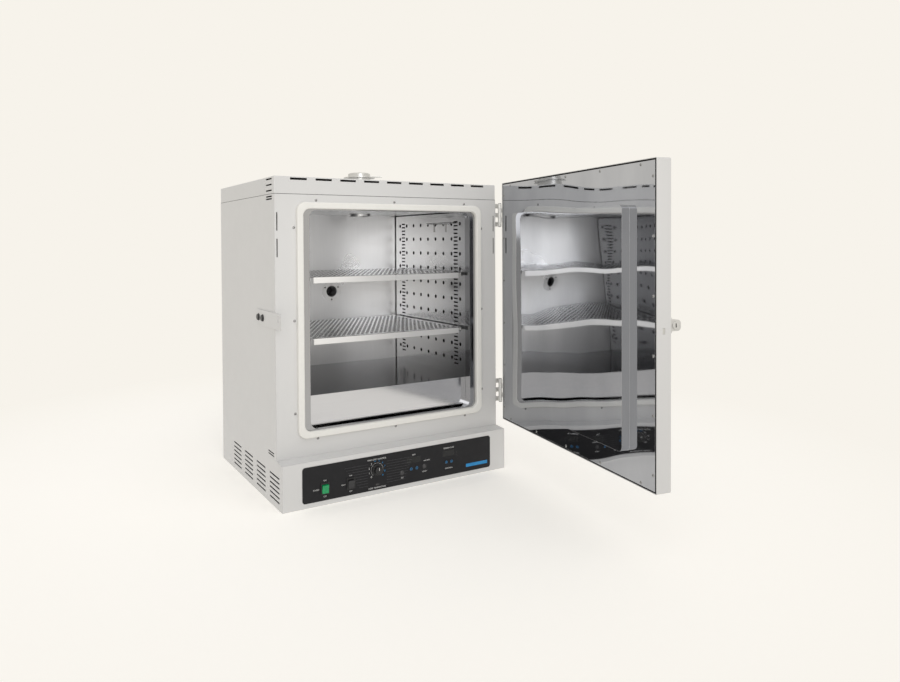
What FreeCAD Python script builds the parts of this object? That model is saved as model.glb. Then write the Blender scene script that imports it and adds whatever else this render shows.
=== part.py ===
import FreeCAD, Part

import math
import os

import Sketcher

# Free-standing hot air sterilizer with its door open, in millimetres.
# X runs to the right of someone facing the door, Y to the back, Z up.
# The origin is the middle of the base pan's underside.

SIZES = {
    # cabinet
    "cabinet_width": 775.0,
    "base_depth": 595.0,
    "nose_depth": 45.0,
    "base_height": 131.0,
    "ledge_rise": 4.0,
    "cabinet_height": 943.0,
    "cap_height": 50.0,
    "cap_edge_radius": 3.0,
    "cabinet_sheet": 1.5,
    "pan_lip": 14.0,
    "deck_height": 137.0,
    # louvres and slots in the casing
    "louvre_length": 82.0,
    "louvre_slot": 5.0,
    "louvre_row_pitch": 13.8,
    "louvre_rows": 6,
    "louvre_group_pitch": 119.5,
    "louvre_groups": 4,
    "louvre_start": 22.0,
    "louvre_bottom": 18.5,
    "rear_louvre_start": 66.0,
    "cap_slot_length": 51.0,
    "cap_slot": 6.0,
    "cap_slot_pitch": 78.4,
    "cap_slot_count": 9,
    "cap_slot_drop": 3.5,
    "cap_side_slot_drop": 9.0,
    "cap_side_slot_pitch": 16.5,
    "edge_slot_length": 50.0,
    "edge_slot": 4.0,
    "edge_slot_setback": 18.5,
    "edge_slot_low": 6.0,
    "edge_slot_low_pitch": 7.5,
    "edge_slot_high": 9.0,
    "edge_slot_high_pitch": 7.0,
    "face_slot": 3.2,
    "face_slot_length": 52.0,
    "face_slot_margin": 8.0,
    "face_slot_high": 788.0,
    "face_slot_low": 713.0,
    # oven chamber
    "opening_width": 564.0,
    "opening_bottom": 210.0,
    "opening_top": 848.0,
    "opening_radius": 24.0,
    "frame_radius": 20.0,
    "throat_depth": 27.0,
    "throat_flange": 21.0,
    "liner_sheet": 1.2,
    "liner_drop": 3.0,
    "chamber_back": 500.0,
    "chamber_ceiling": 855.0,
    "chamber_floor": 303.0,
    "duct_width": 33.0,
    "duct_top_gap": 4.0,
    "duct_back_gap": 6.0,
    "duct_window_margin": 24.0,
    "apron_gap": 5.0,
    "panel_gap": 0.3,
    # duct wall perforation
    "hole_radius": 6.4,
    "hole_pitch": 50.8,
    "hole_columns": 9,
    "hole_rows": 10,
    "hole_front": 29.0,
    "hole_bottom": 54.0,
    "ladder_slot": 5.0,
    "ladder_length": 24.0,
    "ladder_pitch": 13.0,
    "ladder_count": 38,
    "ladder_start": 340.0,
    # shelves
    "shelf_side_gap": 14.0,
    "shelf_depth": 462.0,
    "shelf_setback": 29.5,
    "shelf_sheet": 1.2,
    "shelf_lip": 12.0,
    "shelf_front_lip": 19.0,
    "lower_shelf_rung": 9,
    "upper_shelf_rung": 23,
    "clip_width": 20.0,
    "clip_sheet": 1.5,
    "clip_hook": 8.0,
    "clip_ledge": 10.0,
    "clip_slack": 0.2,
    "slide_clearance": 0.3,
    # heater and blower
    "heater_radius": 4.2,
    "heater_height": 246.0,
    "heater_inner_half": 118.0,
    "heater_leg_gap": 60.0,
    "heater_pitch": 84.0,
    "heater_front": 110.0,
    "heater_hole_gap": 0.8,
    "comb_front": 170.0,
    "comb_back": 410.0,
    "comb_sheet": 2.4,
    "fan_radius": 84.0,
    "fan_height": 38.0,
    "fan_lift": 16.0,
    "fan_sheet": 1.6,
    "fan_blades": 18,
    "fan_blade_length": 26.0,
    "fan_blade_lean": 9.1,
    "fan_hub_radius": 14.0,
    "fan_hub_height": 22.8,
    "fan_setback": 265.0,
    "shaft_radius": 5.0,
    "shaft_clearance": 0.05,
    "shaft_passage": 9.0,
    "motor_radius": 44.0,
    "motor_height": 72.0,
    "motor_bore_depth": 50.0,
    "motor_bell": 14.4,
    "motor_bell_radius": 30.8,
    "bracket_sheet": 3.0,
    "bracket_width": 130.0,
    "bracket_drop": 12.0,
    # access port and exhaust
    "port_x": 7.5,
    "port_height": 572.0,
    "port_bore": 20.5,
    "port_wall": 2.0,
    "port_flange_radius": 38.0,
    "port_flange": 2.0,
    "port_screw_radius": 3.2,
    "port_screw_ring": 30.0,
    "port_screw_height": 2.0,
    "exhaust_x": 75.0,
    "exhaust_setback": 397.0,
    "exhaust_radius": 37.0,
    "exhaust_wall": 1.5,
    "exhaust_drop": 8.0,
    "stack_height": 42.0,
    "vent_flange_radius": 56.0,
    "vent_flange": 3.0,
    "vent_collar_radius": 41.0,
    "vent_cap_radius": 40.0,
    "vent_cap_height": 15.0,
    "vent_cap_side": 12.0,
    "vent_crown_radius": 34.4,
    "vent_lever_reach": 82.0,
    "vent_lever_width": 14.0,
    "vent_lever": 4.0,
    "vent_pin_radius": 4.0,
    "vent_port_radius": 7.4,
    "vent_port_ring": 23.0,
    "vent_rest_angle": -30.0,
    "turn_gap": 0.3,
    # temperature probe
    "probe_height": 818.0,
    "probe_front": 85.0,
    "probe_length": 163.0,
    "probe_radius": 3.0,
    "probe_standoff": 10.0,
    "probe_clip_front": 140.0,
    "probe_clip_back": 216.0,
    "probe_clip_width": 8.0,
    "probe_clip_length": 30.0,
    # gasket
    "gasket_width": 19.5,
    "seal_clearance": 0.3,
    "gasket_radius": 26.0,
    "gasket_round": 4.0,
    # control panel
    "overlay_half_width": 328.0,
    "overlay_bottom": 14.0,
    "overlay_height": 103.0,
    "overlay_sheet": 1.0,
    "overlay_radius": 9.0,
    "switch_width": 28.0,
    "switch_height": 33.0,
    "switch_rim": 3.0,
    "switch_corner": 1.5,
    "switch_wall": 1.0,
    "switch_well": 13.2,
    "switch_proud": 2.0,
    "switch_depth": 22.0,
    "switch_z": 48.5,
    "power_switch_x": -259.0,
    "heat_switch_x": -177.5,
    "rocker_gap": 0.9,
    "rocker_side_gap": 0.3,
    "rocker_axle_depth": 5.0,
    "rocker_rise": 5.0,
    "rocker_dish": 2.0,
    "rocker_taper": 0.928,
    "rocker_back": 3.0,
    "rocker_half_throw": 7.0,
    "knob_x": -90.5,
    "knob_z": 74.0,
    "knob_radius": 17.0,
    "knob_height": 15.0,
    "knob_skirt": 3.0,
    "knob_edge": 1.0,
    "knob_grip_root": 13.6,
    "knob_grip_tip": 12.24,
    "knob_face_radius": 10.2,
    "flute_ring": 16.66,
    "flute_radius": 4.08,
    "flute_count": 6,
    "knob_hole_gap": 1.0,
    "knob_shaft_reach": 13.0,
    "knob_shaft_radius": 3.0,
    "thermostat_radius": 17.0,
    "thermostat_depth": 26.0,
    "thermostat_bore": 15.6,
    "lamp_radius": 7.5,
    "left_lamp_x": -3.8,
    "left_lamp_z": 49.5,
    "right_lamp_x": 76.0,
    "right_lamp_z": 57.0,
    "neon_x": -90.0,
    "neon_z": 30.0,
    "neon_width": 12.0,
    "neon_height": 6.0,
    "neon_proud": 1.0,
    "status_lamp_x": 196.0,
    "status_lamp_high": 83.0,
    "status_lamp_low": 74.0,
    "status_lamp_radius": 2.2,
    "display_z": 83.5,
    "display_height": 19.0,
    "left_display_x": 37.0,
    "left_display_width": 50.0,
    "right_display_x": 165.5,
    "right_display_width": 42.0,
    "button_z": 57.0,
    "button_radius": 5.0,
    "button_crown": 0.6,
    "button_face_radius": 4.25,
    "button_stem_radius": 2.5,
    "button_pitch": 19.5,
    "button_proud": 1.8,
    "button_travel": 1.0,
    "button_gap": 0.3,
    "board_setback": 14.0,
    "board_sheet": 1.6,
    "board_width": 300.0,
    "board_height": 84.0,
    "board_rise": 6.0,
    "board_switch": 3.0,
    "board_switch_width": 7.0,
    "spacer_radius": 3.0,
    "spacer_inset": 8.0,
    "board_x": 85.0,
    # rear fittings
    "inlet_x": 300.0,
    "inlet_z": 66.0,
    "inlet_width": 50.0,
    "inlet_height": 27.0,
    "inlet_flange": 2.5,
    "inlet_rim_side": 6.0,
    "inlet_rim_top": 1.0,
    "inlet_depth": 28.0,
    "inlet_socket_width": 24.5,
    "inlet_socket_height": 17.0,
    "inlet_socket_depth": 20.0,
    "inlet_pin_radius": 2.0,
    "inlet_pin_pitch": 7.0,
    "inlet_pin_offset": 2.0,
    "inlet_pin_length": 16.0,
    # hinges
    "pin_offset_x": 12.2,
    "pin_offset_y": 9.5,
    "pin_radius": 3.0,
    "pin_head_radius": 4.5,
    "pin_head": 2.0,
    "pin_clearance": 0.05,
    "knuckle_radius": 6.2,
    "knuckle_gap": 0.3,
    "knuckle_count": 5,
    "hinge_height": 76.0,
    "hinge_low": 252.0,
    "hinge_high": 842.0,
    "hinge_sheet": 2.5,
    "leaf_setback": 2.0,
    "leaf_inset": 1.0,
    "cabinet_leaf_reach": 34.0,
    # strike
    "strike_bottom": 510.0,
    "strike_height": 46.0,
    "strike_sheet": 3.0,
    "strike_reach_back": 155.0,
    "strike_radius": 8.0,
    "strike_slack": 2.0,
    "strike_screw_radius": 11.0,
    "strike_screw_face": 8.25,
    "strike_screw_height": 5.0,
    "strike_screw_front": 99.0,
    "strike_screw_back": 136.0,
    # door
    "open_angle": 80.0,
    "door_width": 763.0,
    "door_bottom": 157.0,
    "door_top": 948.0,
    "door_gap": 12.0,
    "door_thickness": 43.0,
    "door_sheet": 1.5,
    "door_edge_radius": 3.0,
    "door_liner_gap": 4.0,
    "door_liner_sheet": 1.2,
    "plug_clearance": 5.0,
    "plug_bottom_rise": 22.0,
    "plug_depth": 23.0,
    "plug_radius": 14.0,
    "liner_screw_inset": 12.0,
    "liner_screw_end_x": 44.34,
    "liner_screw_end_z": 30.68,
    # latch
    "latch_height": 553.0,
    "latch_bolt_height": 14.0,
    "latch_bolt_thick": 6.0,
    "latch_bolt_length": 68.0,
    "latch_bolt_drop": 12.0,
    "latch_bolt_depth": 21.0,
    "latch_bolt_travel": 19.0,
    "latch_guide_length": 28.0,
    "cam_sheet": 3.0,
    "cam_pin_radius": 2.0,
    "cam_eye_radius": 3.0,
    "cam_slot_gap": 0.7,
    "latch_plate_length": 96.0,
    "latch_inset": 2.0,
    "latch_plate_radius": 9.0,
    "latch_plate_height": 42.0,
    "latch_plate": 4.0,
    "latch_body_length": 78.0,
    "latch_body_height": 27.0,
    "latch_body_proud": 29.0,
    "latch_nose_radius": 9.72,
    "lock_radius": 9.5,
    "lock_offset": 1.0,
    "keyway_width": 3.04,
    "keyway_height": 9.5,
    "lock_length": 22.0,
    "lock_bore_depth": 20.0,
    "spindle_setback": 46.0,
    "spindle_radius": 5.0,
    "handle_hub_radius": 11.0,
    "handle_hub": 9.0,
    "handle_length": 92.0,
    "handle_width": 15.0,
    "handle_sheet": 6.0,
    # fasteners
    "screw_radius": 4.0,
    "screw_head": 2.0,
    "screw_face_radius": 2.4,
    "face_screw_side": 7.0,
    "face_screw_low": 5.0,
    "face_screw_high": 6.0,
    "face_screw_step_x": 260.305,
    "face_screw_step_z": 267.19,
    "rear_screw_margin": 13.5,
    "rear_screw_middle": 155.0,
}


class Length:
    """A size that knows its value now and its formula in the sheet's names."""

    def __init__(self, text, value):
        self.text = text
        self.value = value

    def _joined(self, other, sign, value, swap=False):
        mine, theirs = self.text, as_length(other).text
        if swap:
            mine, theirs = theirs, mine
        return Length("(" + mine + " " + sign + " " + theirs + ")", value)

    def __add__(self, other):
        return self._joined(other, "+", self.value + number(other))

    def __radd__(self, other):
        return self._joined(other, "+", number(other) + self.value, swap=True)

    def __sub__(self, other):
        return self._joined(other, "-", self.value - number(other))

    def __rsub__(self, other):
        return self._joined(other, "-", number(other) - self.value, swap=True)

    def __mul__(self, other):
        return self._joined(other, "*", self.value * number(other))

    def __rmul__(self, other):
        return self._joined(other, "*", number(other) * self.value, swap=True)

    def __truediv__(self, other):
        return self._joined(other, "/", self.value / number(other))

    def __neg__(self):
        return Length("(0 - " + self.text + ")", -self.value)


def number(value):
    return value.value if isinstance(value, Length) else float(value)


def as_length(value):
    return value if isinstance(value, Length) else Length(repr(float(value)), float(value))


class Sheet:
    """The spreadsheet's cells as lengths."""

    def __init__(self, cells):
        self.cells = cells

    def __getattr__(self, alias):
        return Length("Size." + alias, float(self.cells.get(alias)))


def make_sheet(doc):
    cells = doc.addObject("Spreadsheet::Sheet", "Size")
    for row, (alias, value) in enumerate(SIZES.items(), start=1):
        cells.set("A%d" % row, alias.replace("_", " "))
        cells.set("B%d" % row, str(value))
        cells.setAlias("B%d" % row, alias)
    doc.recompute()
    return cells


doc = FreeCAD.newDocument("sterilizer")
size = Sheet(make_sheet(doc))
NODES = []

# Places that several pieces share
HALF = size.cabinet_width / 2
NOSE = -(size.base_depth / 2)
FRONT = size.nose_depth - size.base_depth / 2
REAR = size.base_depth / 2
INSIDE = HALF - size.cabinet_sheet
BODY_TOP = size.cabinet_height - size.cap_height
LEDGE = size.base_height + size.ledge_rise
BEHIND_FRONT = FRONT + size.cabinet_sheet
BEFORE_REAR = REAR - size.cabinet_sheet
DUCT_FACE = size.opening_width / 2
LINER_HALF = DUCT_FACE + size.duct_width
LINER_BOTTOM = size.opening_bottom - size.liner_drop
CHAMBER_BACK = FRONT + size.chamber_back
THROAT_BACK = FRONT + size.throat_depth
FRAME_HALF = DUCT_FACE + size.throat_flange
FRAME_TOP = size.opening_top + size.liner_drop
DECK_TOP = size.deck_height + size.cabinet_sheet
FAN_X = as_length(0)
FAN_Y = FRONT + size.fan_setback
EXHAUST_Y = FRONT + size.exhaust_setback
OVERLAY_FRONT = NOSE - size.overlay_sheet
PANEL_BACK = NOSE + size.cabinet_sheet
HINGE_X = HALF + size.pin_offset_x
HINGE_Y = FRONT - size.pin_offset_y
STACK_TOP = size.cabinet_height + size.stack_height
CAP_BOTTOM = STACK_TOP + size.vent_flange
LADDER_FRONT = THROAT_BACK + size.hole_front + size.hole_pitch / 2
LADDER_SPACING = size.hole_pitch * (size.hole_columns - 2)
HEATER_BEND = size.heater_leg_gap / 2
FAN_BOTTOM = LINER_BOTTOM + size.fan_lift
MOTOR_TOP = size.deck_height - size.bracket_drop - size.bracket_sheet
BOARD_Y = PANEL_BACK + size.board_setback

# The door is drawn shut, measured from its hinge pin, and then swung open
DOOR_HINGE_EDGE = -size.pin_offset_x
DOOR_FREE_EDGE = DOOR_HINGE_EDGE - size.door_width
DOOR_INNER = size.pin_offset_y - size.door_gap
DOOR_OUTER = DOOR_INNER - size.door_thickness
BOLT_Y = DOOR_INNER - size.latch_bolt_depth
BOLT_HEIGHT = size.latch_height - size.latch_bolt_drop
SPINDLE_X = DOOR_FREE_EDGE + size.spindle_setback
LOCK_Y = DOOR_OUTER - size.latch_body_proud / 2 + size.lock_offset

# The cam pin swings a quarter turn about straight down, half the travel each way
CAM_OFFSET = size.latch_bolt_travel / 2
CAM_REACH = CAM_OFFSET * math.sqrt(2)

# A cut through one sheet spans this many sheet thicknesses
THROUGH = 4

# Angles of the first air hole in the vent's top plate and in its damper
PLATE_PORT_TURN, DAMPER_PORT_TURN = 45, 30

# A lamp's dome: how far it stands out and its face, as shares of the lamp's radius
DOME_RISE, DOME_FACE = 0.3, 0.7

# How closely an edge's direction and place have to agree with the wanted ones
PARALLEL, TOUCH = 0.999, 0.01


def bind(thing, name, value):
    thing.setExpression(name, as_length(value).text)


def vector(x, y, z=0):
    return FreeCAD.Vector(number(x), number(y), number(z))


def put(thing, x=0, y=0, z=0):
    bind(thing, "Placement.Base.x", x)
    bind(thing, "Placement.Base.y", y)
    bind(thing, "Placement.Base.z", z)
    return thing


# Primitives and booleans

def box(corner, extent):
    piece = doc.addObject("Part::Box", "Block")
    for name, value in zip(("Length", "Width", "Height"), extent):
        bind(piece, name, value)
    return put(piece, *corner)


TURNS = {
    "z": FreeCAD.Rotation(0, 0, 0),
    "y": FreeCAD.Rotation(FreeCAD.Vector(1, 0, 0), -90),
    "x": FreeCAD.Rotation(FreeCAD.Vector(0, 1, 0), 90),
}


def rod(start, axis, radius, length):
    piece = doc.addObject("Part::Cylinder", "Rod")
    bind(piece, "Radius", radius)
    bind(piece, "Height", length)
    piece.Placement = FreeCAD.Placement(FreeCAD.Vector(), TURNS[axis])
    return put(piece, *start)


def taper(start, axis, radius, end_radius, length):
    piece = doc.addObject("Part::Cone", "Taper")
    bind(piece, "Radius1", radius)
    bind(piece, "Radius2", end_radius)
    bind(piece, "Height", length)
    piece.Placement = FreeCAD.Placement(FreeCAD.Vector(), TURNS[axis])
    return put(piece, *start)


def cut(base, *tools):
    piece = doc.addObject("Part::Cut", "Cut")
    piece.Base = base
    piece.Tool = tools[0] if len(tools) == 1 else gather(*tools)
    return piece


def join(*pieces):
    piece = doc.addObject("Part::MultiFuse", "Joined")
    piece.Shapes = list(pieces)
    piece.Refine = True
    return piece


def gather(*pieces):
    piece = doc.addObject("Part::Compound", "Group")
    piece.Links = list(pieces)
    return piece


def keep(name, piece):
    """Name a finished sub-part of the cabinet."""
    doc.recompute()
    piece.Label = name
    NODES.append(piece)
    return piece


def hang(name, piece):
    """Name a finished sub-part of the door and swing it open about the hinge pin."""
    kept = piece if piece.isDerivedFrom("PartDesign::Body") else gather(piece)
    kept.Placement = FreeCAD.Placement(FreeCAD.Vector(), FreeCAD.Rotation(FreeCAD.Vector(0, 0, 1), 0))
    put(kept, HINGE_X, HINGE_Y)
    bind(kept, "Placement.Rotation.Angle", size.open_angle)
    return keep(name, kept)


# Bodies drawn from sketches

def new_body(title):
    return doc.addObject("PartDesign::Body", title)


def origin_of(body, role):
    return next(part for part in body.Origin.OriginFeatures if part.Role == role)


def new_sketch(body, plane, lift=0):
    """A sketch on XY, XZ (looking along +Y) or YZ, raised along the plane's own normal."""
    sketch = body.newObject("Sketcher::SketchObject", "Outline")
    sketch.AttachmentSupport = [(origin_of(body, plane + "_Plane"), "")]
    sketch.MapMode = "FlatFace"
    bind(sketch, "AttachmentOffset.Base.z", lift)
    return sketch


def pin_point(sketch, kind, shape, point, value):
    """Hold one coordinate of a point of the sketch at a length."""
    rule = Sketcher.Constraint(kind, -1, 1, shape, point, number(value))
    index = sketch.addConstraint(rule)
    bind(sketch, "Constraints[%d]" % index, value)


def polygon(sketch, corners):
    first = sketch.GeometryCount
    count = len(corners)
    for index, corner in enumerate(corners):
        following = corners[(index + 1) % count]
        sketch.addGeometry(Part.LineSegment(vector(*corner), vector(*following)), False)
    for index in range(count):
        following = (index + 1) % count
        joint = Sketcher.Constraint("Coincident", first + index, 2, first + following, 1)
        sketch.addConstraint(joint)
    for index, (across, up) in enumerate(corners):
        pin_point(sketch, "DistanceX", first + index, 1, across)
        pin_point(sketch, "DistanceY", first + index, 1, up)
    return sketch


def rectangle(sketch, left, low, right, high):
    return polygon(sketch, [(left, low), (right, low), (right, high), (left, high)])


def circle(sketch, across, up, radius):
    shape = Part.Circle(vector(across, up), FreeCAD.Vector(0, 0, 1), number(radius))
    index = sketch.addGeometry(shape, False)
    pin_point(sketch, "DistanceX", index, 3, across)
    pin_point(sketch, "DistanceY", index, 3, up)
    rule = sketch.addConstraint(Sketcher.Constraint("Radius", index, number(radius)))
    bind(sketch, "Constraints[%d]" % rule, radius)
    return sketch


def rounded(sketch, left, low, right, high, radius):
    """A rectangle with round corners: four sides, four arcs, tangent all round."""
    first = sketch.GeometryCount
    ends = [
        ((left + radius, low), (right - radius, low)),
        ((right, low + radius), (right, high - radius)),
        ((right - radius, high), (left + radius, high)),
        ((left, high - radius), (left, low + radius)),
    ]
    for start, end in ends:
        sketch.addGeometry(Part.LineSegment(vector(*start), vector(*end)), False)
    centres = [
        (right - radius, low + radius),
        (right - radius, high - radius),
        (left + radius, high - radius),
        (left + radius, low + radius),
    ]
    for quarter, centre in enumerate(centres):
        full = Part.Circle(vector(*centre), FreeCAD.Vector(0, 0, 1), number(radius))
        start = (quarter - 1) * math.pi / 2
        sketch.addGeometry(Part.ArcOfCircle(full, start, start + math.pi / 2), False)
    for side in range(4):
        arc = first + 4 + side
        following = first + (side + 1) % 4
        sketch.addConstraint(Sketcher.Constraint("Tangent", first + side, 2, arc, 1))
        sketch.addConstraint(Sketcher.Constraint("Tangent", arc, 2, following, 1))
        direction = "Horizontal" if side % 2 == 0 else "Vertical"
        sketch.addConstraint(Sketcher.Constraint(direction, first + side))
    for arc in range(first + 5, first + 8):
        sketch.addConstraint(Sketcher.Constraint("Equal", first + 4, arc))
    rule = sketch.addConstraint(Sketcher.Constraint("Radius", first + 4, number(radius)))
    bind(sketch, "Constraints[%d]" % rule, radius)
    pin_point(sketch, "DistanceY", first, 1, low)
    pin_point(sketch, "DistanceX", first + 1, 1, right)
    pin_point(sketch, "DistanceY", first + 2, 1, high)
    pin_point(sketch, "DistanceX", first + 3, 1, left)
    return sketch


def pad(body, sketch, length, backwards=False):
    feature = body.newObject("PartDesign::Pad", "Pad")
    feature.Profile = sketch
    feature.Reversed = backwards
    bind(feature, "Length", length)
    return feature


def pocket(body, sketch, length=None, backwards=False, both=False):
    """A cut along the sketch's normal, evenly both ways, or through everything."""
    feature = body.newObject("PartDesign::Pocket", "Pocket")
    feature.Profile = sketch
    feature.Midplane = both or length is None
    if length is None:
        feature.Type = "ThroughAll"
    else:
        feature.Reversed = backwards
        bind(feature, "Length", length)
    return feature


def repeat(body, feature, *directions):
    """Copy a feature along one or two axes: (axis, count, pitch) each."""
    grid = body.newObject("PartDesign::MultiTransform", "Grid")
    grid.Originals = [feature]
    steps = []
    for axis, count, pitch in directions:
        step = body.newObject("PartDesign::LinearPattern", "Row")
        step.Direction = (origin_of(body, axis + "_Axis"), [""])
        bind(step, "Length", (count - 1) * pitch)
        bind(step, "Occurrences", count)
        steps.append(step)
    grid.Transformations = steps
    body.Tip = grid
    return grid


def round_edges(body, radius, wanted):
    """Fillet the edges of the body's last feature that wanted accepts."""
    doc.recompute()
    base = body.Tip
    edges = [
        "Edge%d" % (index + 1)
        for index, edge in enumerate(base.Shape.Edges)
        if wanted(edge)
    ]
    feature = body.newObject("PartDesign::Fillet", "Round")
    feature.Base = (base, edges)
    bind(feature, "Radius", radius)
    return feature


def middle(edge):
    return edge.valueAt((edge.FirstParameter + edge.LastParameter) / 2)


def along(edge, axis):
    """True for a straight edge that runs along X, Y or Z."""
    if edge.Curve.TypeId != "Part::GeomLine":
        return False
    return abs(getattr(edge.tangentAt(edge.FirstParameter), axis)) > PARALLEL


def near(value, target):
    return abs(value - number(target)) < TOUCH


def screws(places, axis, sign):
    """Low domed screw heads standing on a face; sign gives the outward direction."""
    heads = []
    for place in places:
        x, y, z = place
        offset = as_length(0) if sign > 0 else -size.screw_head
        start = {
            "x": (x + offset, y, z),
            "y": (x, y + offset, z),
            "z": (x, y, z + offset),
        }[axis]
        wide, narrow = size.screw_radius, size.screw_face_radius
        radii = (wide, narrow) if sign > 0 else (narrow, wide)
        heads.append(taper(start, axis, radii[0], radii[1], size.screw_head))
    return gather(*heads)


# Casing

def base_pan():
    body = new_body("BasePan")
    front, back = PANEL_BACK, BEFORE_REAR
    outline = rectangle(new_sketch(body, "XY"), -INSIDE, front, INSIDE, back)
    pad(body, outline, size.pan_lip)
    sheet = size.cabinet_sheet
    inner = new_sketch(body, "XY", sheet)
    rectangle(inner, -INSIDE + sheet, front + sheet, INSIDE - sheet, back - sheet)
    pocket(body, inner, size.pan_lip, backwards=True)
    keep("base_pan", body)


def side_panel(name, side):
    """Side sheet with the nose outline, four groups of louvres and short edge slots."""
    body = new_body("SidePanel")
    sketch = new_sketch(body, "YZ")
    corners = [
        (NOSE, as_length(0)),
        (REAR, as_length(0)),
        (REAR, BODY_TOP),
        (FRONT, BODY_TOP),
        (FRONT, LEDGE),
        (NOSE, size.base_height),
    ]
    polygon(sketch, corners)
    pad(body, sketch, size.cabinet_sheet)
    slot = new_sketch(body, "YZ")
    start = NOSE + size.louvre_start
    low = size.louvre_bottom
    rectangle(slot, start, low, start + size.louvre_length, low + size.louvre_slot)
    louvre = pocket(body, slot)
    columns = ("Y", size.louvre_groups, size.louvre_group_pitch)
    rows = ("Z", size.louvre_rows, size.louvre_row_pitch)
    repeat(body, louvre, columns, rows)
    short = new_sketch(body, "YZ")
    front = FRONT + size.edge_slot_setback
    lowest, highest = LEDGE + size.edge_slot_low, BODY_TOP - size.edge_slot_high
    second, third = lowest + size.edge_slot_low_pitch, highest - size.edge_slot_high_pitch
    for height in (lowest, second, third, highest):
        rectangle(short, front, height, front + size.edge_slot_length, height + size.edge_slot)
    pocket(body, short)
    put(body, -HALF if side < 0 else INSIDE)
    keep(name, body)


def rear_panel():
    body = new_body("RearPanel")
    rectangle(new_sketch(body, "XZ"), -INSIDE, as_length(0), INSIDE, BODY_TOP)
    pad(body, body.Group[-1], size.cabinet_sheet)
    holes = new_sketch(body, "XZ")
    circle(holes, size.port_x, size.port_height, size.port_bore + size.port_wall)
    half = size.inlet_width / 2 - size.inlet_rim_side
    rise = size.inlet_height / 2 - size.inlet_rim_top
    left, low = size.inlet_x - half, size.inlet_z - rise
    rectangle(holes, left, low, size.inlet_x + half, size.inlet_z + rise)
    pocket(body, holes)
    slot = new_sketch(body, "XZ")
    start = -HALF + size.rear_louvre_start
    low = size.louvre_bottom
    rectangle(slot, start, low, start + size.louvre_length, low + size.louvre_slot)
    louvre = pocket(body, slot)
    columns = ("X", size.louvre_groups, size.louvre_group_pitch)
    rows = ("Z", size.louvre_rows, size.louvre_row_pitch)
    repeat(body, louvre, columns, rows)
    put(body, 0, REAR)
    keep("rear_panel", body)


def top_cover():
    """Inverted tray over the whole cabinet, slotted along its front and corners."""
    body = new_body("TopCover")
    outline = rectangle(new_sketch(body, "XY", BODY_TOP), -HALF, FRONT, HALF, REAR)
    pad(body, outline, size.cap_height)
    top = size.cabinet_height

    def outer_edge(edge):
        centre = middle(edge)
        if along(edge, "z"):
            return True
        return near(centre.z, top)

    round_edges(body, size.cap_edge_radius, outer_edge)
    sheet = size.cabinet_sheet
    inner = new_sketch(body, "XY", BODY_TOP)
    rectangle(inner, -INSIDE, FRONT + sheet, INSIDE, BEFORE_REAR)
    pocket(body, inner, size.cap_height - sheet, backwards=True)
    flue = size.exhaust_radius + size.exhaust_wall
    pocket(body, circle(new_sketch(body, "XY"), size.exhaust_x, EXHAUST_Y, flue))
    slot = new_sketch(body, "XZ", -FRONT)
    first = -(size.cap_slot_pitch * (size.cap_slot_count - 1) / 2) - size.cap_slot_length / 2
    high = top - size.cap_slot_drop
    rectangle(slot, first, high - size.cap_slot, first + size.cap_slot_length, high)
    vent = pocket(body, slot, sheet)
    repeat(body, vent, ("X", size.cap_slot_count, size.cap_slot_pitch))
    side = new_sketch(body, "YZ")
    front = FRONT + size.edge_slot_setback
    for step in range(3):
        low = top - size.cap_side_slot_drop - step * size.cap_side_slot_pitch
        rectangle(side, front, low, front + size.edge_slot_length, low + size.edge_slot)
    pocket(body, side)
    keep("top_cover", body)


def front_frame():
    """Face sheet around the oven mouth."""
    body = new_body("FrontFrame")
    sketch = new_sketch(body, "XZ")
    rectangle(sketch, -INSIDE, LEDGE - size.pan_lip, INSIDE, BODY_TOP)
    rounded(sketch, -FRAME_HALF, LINER_BOTTOM, FRAME_HALF, FRAME_TOP, size.frame_radius)
    pad(body, sketch, size.cabinet_sheet, backwards=True)
    slots = new_sketch(body, "XZ")
    for side in (-1, 1):
        middle_x = side * (HALF - size.face_slot_margin)
        left = middle_x - size.face_slot / 2
        right = middle_x + size.face_slot / 2
        for low in (size.face_slot_high, size.face_slot_low):
            rectangle(slots, left, low, right, low + size.face_slot_length)
    pocket(body, slots)
    put(body, 0, FRONT)
    keep("front_frame", body)


def panel_openings(sketch):
    """Holes through the nose for what the control panel carries."""
    for x in (size.power_switch_x, size.heat_switch_x):
        half = size.switch_width / 2 - size.switch_rim
        rise = size.switch_height / 2 - size.switch_rim
        rectangle(sketch, x - half, size.switch_z - rise, x + half, size.switch_z + rise)
    circle(sketch, size.knob_x, size.knob_z, size.knob_shaft_radius + size.knob_hole_gap)
    for x, width in display_places():
        half, rise = width / 2, size.display_height / 2
        rectangle(sketch, x - half, size.display_z - rise, x + half, size.display_z + rise)
    for x in button_places():
        circle(sketch, x, size.button_z, size.button_radius + size.button_gap)
    for x, z, radius in lamp_places():
        circle(sketch, x, z, radius)
    half, rise = size.neon_width / 2, size.neon_height / 2
    rectangle(sketch, size.neon_x - half, size.neon_z - rise, size.neon_x + half, size.neon_z + rise)


def display_places():
    return [
        (size.left_display_x, size.left_display_width),
        (size.right_display_x, size.right_display_width),
    ]


def button_places():
    half = size.button_pitch / 2
    return [
        size.left_display_x - half,
        size.left_display_x + half,
        size.right_display_x - half,
        size.right_display_x + half,
    ]


def lamp_places():
    return [
        (size.left_lamp_x, size.left_lamp_z, size.lamp_radius),
        (size.right_lamp_x, size.right_lamp_z, size.lamp_radius),
        (size.status_lamp_x, size.status_lamp_high, size.status_lamp_radius),
        (size.status_lamp_x, size.status_lamp_low, size.status_lamp_radius),
    ]


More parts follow.
